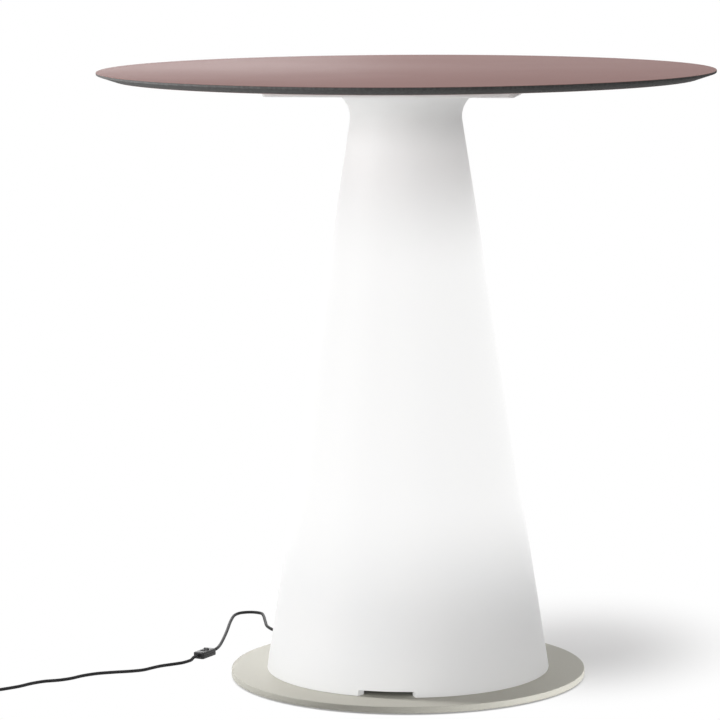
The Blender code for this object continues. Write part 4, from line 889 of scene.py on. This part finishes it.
def make_pin(name):
    """Round pin with a slight waist under its sleeve and a rounded tip."""
    waist, step = PIN_RADIUS - 0.0002, 0.00005
    turn = [(0, -PIN_BURIED), (PIN_RADIUS, -PIN_BURIED), (PIN_RADIUS, 0), (waist, step)]
    turn += [(waist, PIN_SLEEVE), (PIN_RADIUS, PIN_SLEEVE + step)]
    for inset, back in ((0, 0.0009), (0.0002, 0.0004), (0.0005, 0.0002), (0.0009, 0)):
        turn.append((PIN_RADIUS - inset, PIN_LENGTH - back))
    return lathe(name, [*turn, (0, PIN_LENGTH)], 40)


def case_block(name, start, stop, rounded_end):
    """A stretch of the supply's case, with its long edges and one end rounded."""
    half = SUPPLY_HALF_WIDTH
    piece = block(name, (start, -half, 0), (stop, half, SUPPLY_HEIGHT))
    ease(piece, lambda a, b: abs(a.x - b.x) > 0.001, SUPPLY_CORNER, 8)
    ease(piece, edges_at(0, rounded_end), SUPPLY_EASE, 6)
    return piece


def supply_frame():
    """Where the supply lies: in line with the end of the coil."""
    before, last = coil_line()[-2:]
    way = (last - before).normalized()
    end = last + GAP * way
    return Matrix.Translation((end.x, end.y, 0)) @ Matrix.Rotation(math.atan2(way.y, way.x), 4, "Z")


# Lead


def smooth_line(points, samples=14):
    """Points on a centripetal spline from the second point to the last but one."""
    line = []
    for before, first, second, after in zip(points, points[1:], points[2:], points[3:]):
        knots = [0.0]
        for a, b in ((before, first), (first, second), (second, after)):
            knots.append(knots[-1] + math.sqrt((b - a).length))
        for k in range(samples):
            t = knots[1] + (knots[2] - knots[1]) * k / samples
            row = [before, first, second, after]
            for reach in (1, 2):
                shares = [(t - low) / (high - low) for low, high in zip(knots, knots[reach:])]
                row = [a.lerp(b, share) for a, b, share in zip(row, row[1:], shares)]
            line.append(row[0].lerp(row[1], (t - knots[1]) / (knots[2] - knots[1])))
    return [*line, points[-2].copy()]


def eased(line, rounds=6):
    """The same line with its small kinks relaxed; its ends stay."""
    for _ in range(rounds):
        middle = [b * 0.5 + (a + c) * 0.25 for a, b, c in zip(line, line[1:], line[2:])]
        line = [line[0], *middle, line[-1]]
    for point in line:
        point.z = max(point.z, CORD_RADIUS)
    return line


def laid_line(start, start_way, route, end, end_way):
    """A lead's line: straight out of its start, along a route on the floor, and straight into its end."""
    straight = 2.5 * CORD_DIAMETER
    middle = [Vector((x, y, z + CORD_RADIUS)) for x, y, z in route]
    points = [start, start + straight * start_way, *middle, end - straight * end_way, end]
    return [start, *eased(smooth_line(points)), end]


def heading(angle):
    return Vector((math.cos(angle), math.sin(angle), 0))


def coil_line():
    """Clockwise spiral in on the floor layer, up a layer where it reverses, and out again on top."""
    way = heading(COIL_HEADING)
    outer = COIL_MEAN_RADIUS + COIL_PITCH * COIL_TURNS[0] / 2
    centre = COIL_ENTRY + outer * Vector((way.y, -way.x, 0))
    inward = COIL_ENTRY - centre
    first = math.atan2(inward.y, inward.x)
    turns = sum(COIL_TURNS)
    middle = COIL_TURNS[0] + COIL_TURNS[1] / 2
    count = round(turns * 24)
    points = []
    for k in range(count + 1):
        turn = turns * k / count
        radius = outer - COIL_PITCH * (middle - abs(turn - middle))
        climb = min(1.0, max(0.0, (turn - COIL_TURNS[0]) / COIL_TURNS[1]))
        angle = first - math.tau * turn
        height = COIL_PITCH * climb * climb * (3 - 2 * climb)
        points.append(centre + Vector((radius * math.cos(angle), radius * math.sin(angle), height)))
    return [*points, points[-1] + COIL_STRAIGHT * heading(COIL_HEADING - math.tau * turns)]


def lay_cord(name, line, material, nodes):
    """A cord along a line of points, with the CAD nodes that it stands for hidden."""
    curve = bpy.data.curves.new(name, "CURVE")
    curve.dimensions = "3D"
    curve.bevel_depth = CORD_RADIUS
    curve.bevel_resolution = 5
    curve.use_fill_caps = True
    spline = curve.splines.new("POLY")
    spline.points.add(len(line) - 1)
    for place, point in zip(spline.points, line):
        place.co = (*point, 1)
    cord = bpy.data.objects.new(name, curve)
    bpy.context.scene.collection.objects.link(cord)
    curve.materials.append(material)
    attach(cord, "table")
    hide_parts(*nodes)
    length = round(sum((b - a).length for a, b in zip(line, line[1:])), 4)


def build_lead(material):
    """The lead from the column to the switch, and from the switch through the coil to the supply."""
    way = heading(SWITCH_TURN)
    middle = Vector((*SWITCH_FRAME.translation.to_2d(), SWITCH_SPLIT))
    reach = SWITCH_LENGTH / 2 + GAP
    start = Vector((0, RELIEF_TIP + GAP, RELIEF_HEIGHT))
    line = laid_line(start, Vector((0, 1, 0)), LEAD_ROUTE, middle + reach * way, -way)
    lay_cord("lead_to_switch", line, material, ["cord_lead"])
    coil = coil_line()
    start = middle - reach * way
    entry = heading(COIL_HEADING)
    tail = laid_line(start, -way, TAIL_ROUTE, coil[0] - (CORD_DIAMETER * 2) * entry, entry)
    buried = (coil[-1] - coil[-2]).normalized() * INTO_BOSS
    line = [*tail, *coil, coil[-1] + buried]
    lay_cord("lead_to_supply", line, material, ["cord_tail", "cord_coil"])


# Studio


def build_camera():
    """The photograph's viewpoint."""
    distance, height, lens = 4.22, 0.968, 173.75
    turn, pan, pitch, roll = (math.radians(angle) for angle in (8.5, -0.78, 7.758, 0.3))
    data = bpy.data.cameras.new("camera")
    data.lens = lens
    data.sensor_width = 36.0
    data.clip_start, data.clip_end = 0.1, 200.0
    camera = bpy.data.objects.new("camera", data)
    bpy.context.scene.collection.objects.link(camera)
    place = Matrix.Rotation(turn, 4, "Z") @ Matrix.Translation((0, -distance, height))
    aim = Matrix.Rotation(-pan, 4, "Z") @ Matrix.Rotation(math.pi / 2 - pitch, 4, "X")
    camera.matrix_world = place @ aim @ Matrix.Rotation(-roll, 4, "Z")
    bpy.context.scene.camera = camera


def build_floor():
    """Pale floor that keeps the table's shadow; away from the shadow the camera sees it as white."""
    floor = begin(
        bpy.ops.mesh.primitive_circle_add, "floor", vertices=96, radius=FLOOR_RADIUS, fill_type="NGON"
    )
    finish = Finish("pale_floor", Roughness=0.9, Specular_IOR_Level=0.1)
    finish.set("Base Color", finish.mix(finish.noise(3.0, 4.0), (0.87,) * 3, (0.89,) * 3))
    across, along, _ = finish.axes(finish.at(SHADOW_STRETCH, SHADOW_SHIFT))
    far = finish.maths("SQRT", across * across + along * along).step(*SHADOW_EDGE)
    across, along, _ = finish.axes()
    clear = (across * across + along * along).step(*(edge**2 for edge in DISC_EDGE))
    lift = (FLOOR_LIFT + far * (1 - FLOOR_LIFT)) * (UNDER_DISC_LIFT + clear * (1 - UNDER_DISC_LIFT))
    white = finish.node("ShaderNodeEmission", None, {"Color": WHITE, "Strength": 1.0})
    sockets = {0: finish.seen_rays() * lift, 1: Flow(finish, finish.shader.outputs[0]), 2: white}
    blend = finish.node("ShaderNodeMixShader", None, sockets)
    finish.join(finish.tree.nodes["Material Output"].inputs["Surface"], blend)
    floor.data.materials.append(finish.material)


def build_world():
    """A weak even fill; the background itself is white."""
    world = bpy.data.worlds.new("studio")
    world.use_nodes = True
    bpy.context.scene.world = world
    sky = Nodes(world.node_tree)
    fill = sky.tree.nodes["Background"]
    sky.join(fill.inputs["Color"], WHITE)
    sky.join(fill.inputs["Strength"], WORLD_FILL)
    plain = sky.node("ShaderNodeBackground", None, {"Color": WHITE})
    sockets = {0: sky.seen_rays(), 1: Flow(sky, fill.outputs[0]), 2: plain}
    blend = sky.node("ShaderNodeMixShader", None, sockets)
    sky.join(sky.tree.nodes["World Output"].inputs["Surface"], blend)


def hang_lamp(name, place, aim, size, power):
    data = bpy.data.lights.new(name, "AREA")
    data.shape = "RECTANGLE"
    data.size, data.size_y = size
    data.energy = power
    lamp = bpy.data.objects.new(name, data)
    bpy.context.scene.collection.objects.link(lamp)
    lamp.location = place
    lamp.rotation_euler = (Vector(aim) - Vector(place)).to_track_quat("-Z", "Y").to_euler()
    return lamp


def share_lamp(lamp, piece, state):
    """Keeps a lamp to one piece alone, with INCLUDE, or off it, with EXCLUDE."""
    receivers = bpy.data.collections.new(lamp.name + "_receivers")
    receivers.objects.link(bpy.data.objects[piece])
    receivers.collection_objects[0].light_linking.link_state = state
    lamp.light_linking.receiver_collection = receivers


def build_studio():
    build_floor()
    build_world()
    for name, row in LAMPS.items():
        lamp = hang_lamp(name, *row)
        if name in ONLY_ON:
            share_lamp(lamp, ONLY_ON[name], "INCLUDE")
        elif name in NOT_ON:
            share_lamp(lamp, NOT_ON[name], "EXCLUDE")
    bpy.context.scene.view_settings.view_transform = "Standard"


def dress_carried_nodes(finishes):
    """Gives every CAD node the finish of its own slot, and softens the edges of the coil's tie."""
    slots = {row["node"]: row["material_slot"] for row in frame["record"]["subparts"]}
    for name, node in frame["nodes"].items():
        node.data.materials.clear()
        node.data.materials.append(finishes[slots[name]])
    soften = frame["nodes"]["coil_tie"].modifiers.new("soft_edges", "BEVEL")
    soften.width, soften.segments = 0.0003, 2


def main():
    build_camera()
    glow = {"Emission_Color": (0.12, 0.12, 0.11), "Emission_Strength": 1.0}
    brass = (0.62, 0.46, 0.22), (0.76, 0.58, 0.32)
    aluminium = (0.68, 0.69, 0.70), (0.80, 0.81, 0.82)
    white = (0.78,) * 3, (0.84,) * 3
    tube = (0.80, 0.80, 0.79), (0.86, 0.86, 0.85)
    board = (0.74, 0.75, 0.74), (0.82, 0.83, 0.82)
    finishes = {
        "laminate": make_laminate(),
        "opal_shell": make_opal(),
        "base_paint": make_sand_paint(),
        "zinc": make_metal("zinc_plated_steel", ((0.50, 0.51, 0.53), (0.66, 0.67, 0.68)), 0.28),
        "insert_brass": make_metal("brass", brass, 0.26, stretch=(1, 1, 0.1)),
        "post_aluminium": make_metal("drawn_aluminium", aluminium, 0.26, 1400.0, (1, 1, 0.02)),
        "felt": make_felt(),
        "black_plastic": make_black_plastic(),
        "sheath": make_sheath(),
        "tie": make_tie_weave(),
        "pin_nickel": make_pin_metal(),
        "white_plastic": make_white_plastic("white_plastic", white),
        "diffuser": make_white_plastic("opal_tube", tube, **glow),
        "board": make_white_plastic("circuit_board", board, **glow),
    }
    dress_carried_nodes(finishes)
    zinc, black = finishes["zinc"], finishes["black_plastic"]
    build_tabletop(finishes["laminate"])
    build_column(finishes["opal_shell"])
    build_disc(finishes["base_paint"])
    build_top_plate(finishes["base_paint"])
    build_top_fasteners(zinc)
    build_base_fasteners(zinc, finishes["felt"])
    build_relief(finishes["sheath"])
    switch = [build(black) for build in (build_switch_tray, build_switch_cover, build_rocker)]
    switch.append(build_switch_screw(zinc))
    supply = build_supply(black, finishes["pin_nickel"])
    build_lead(finishes["sheath"])
    build_studio()


main()
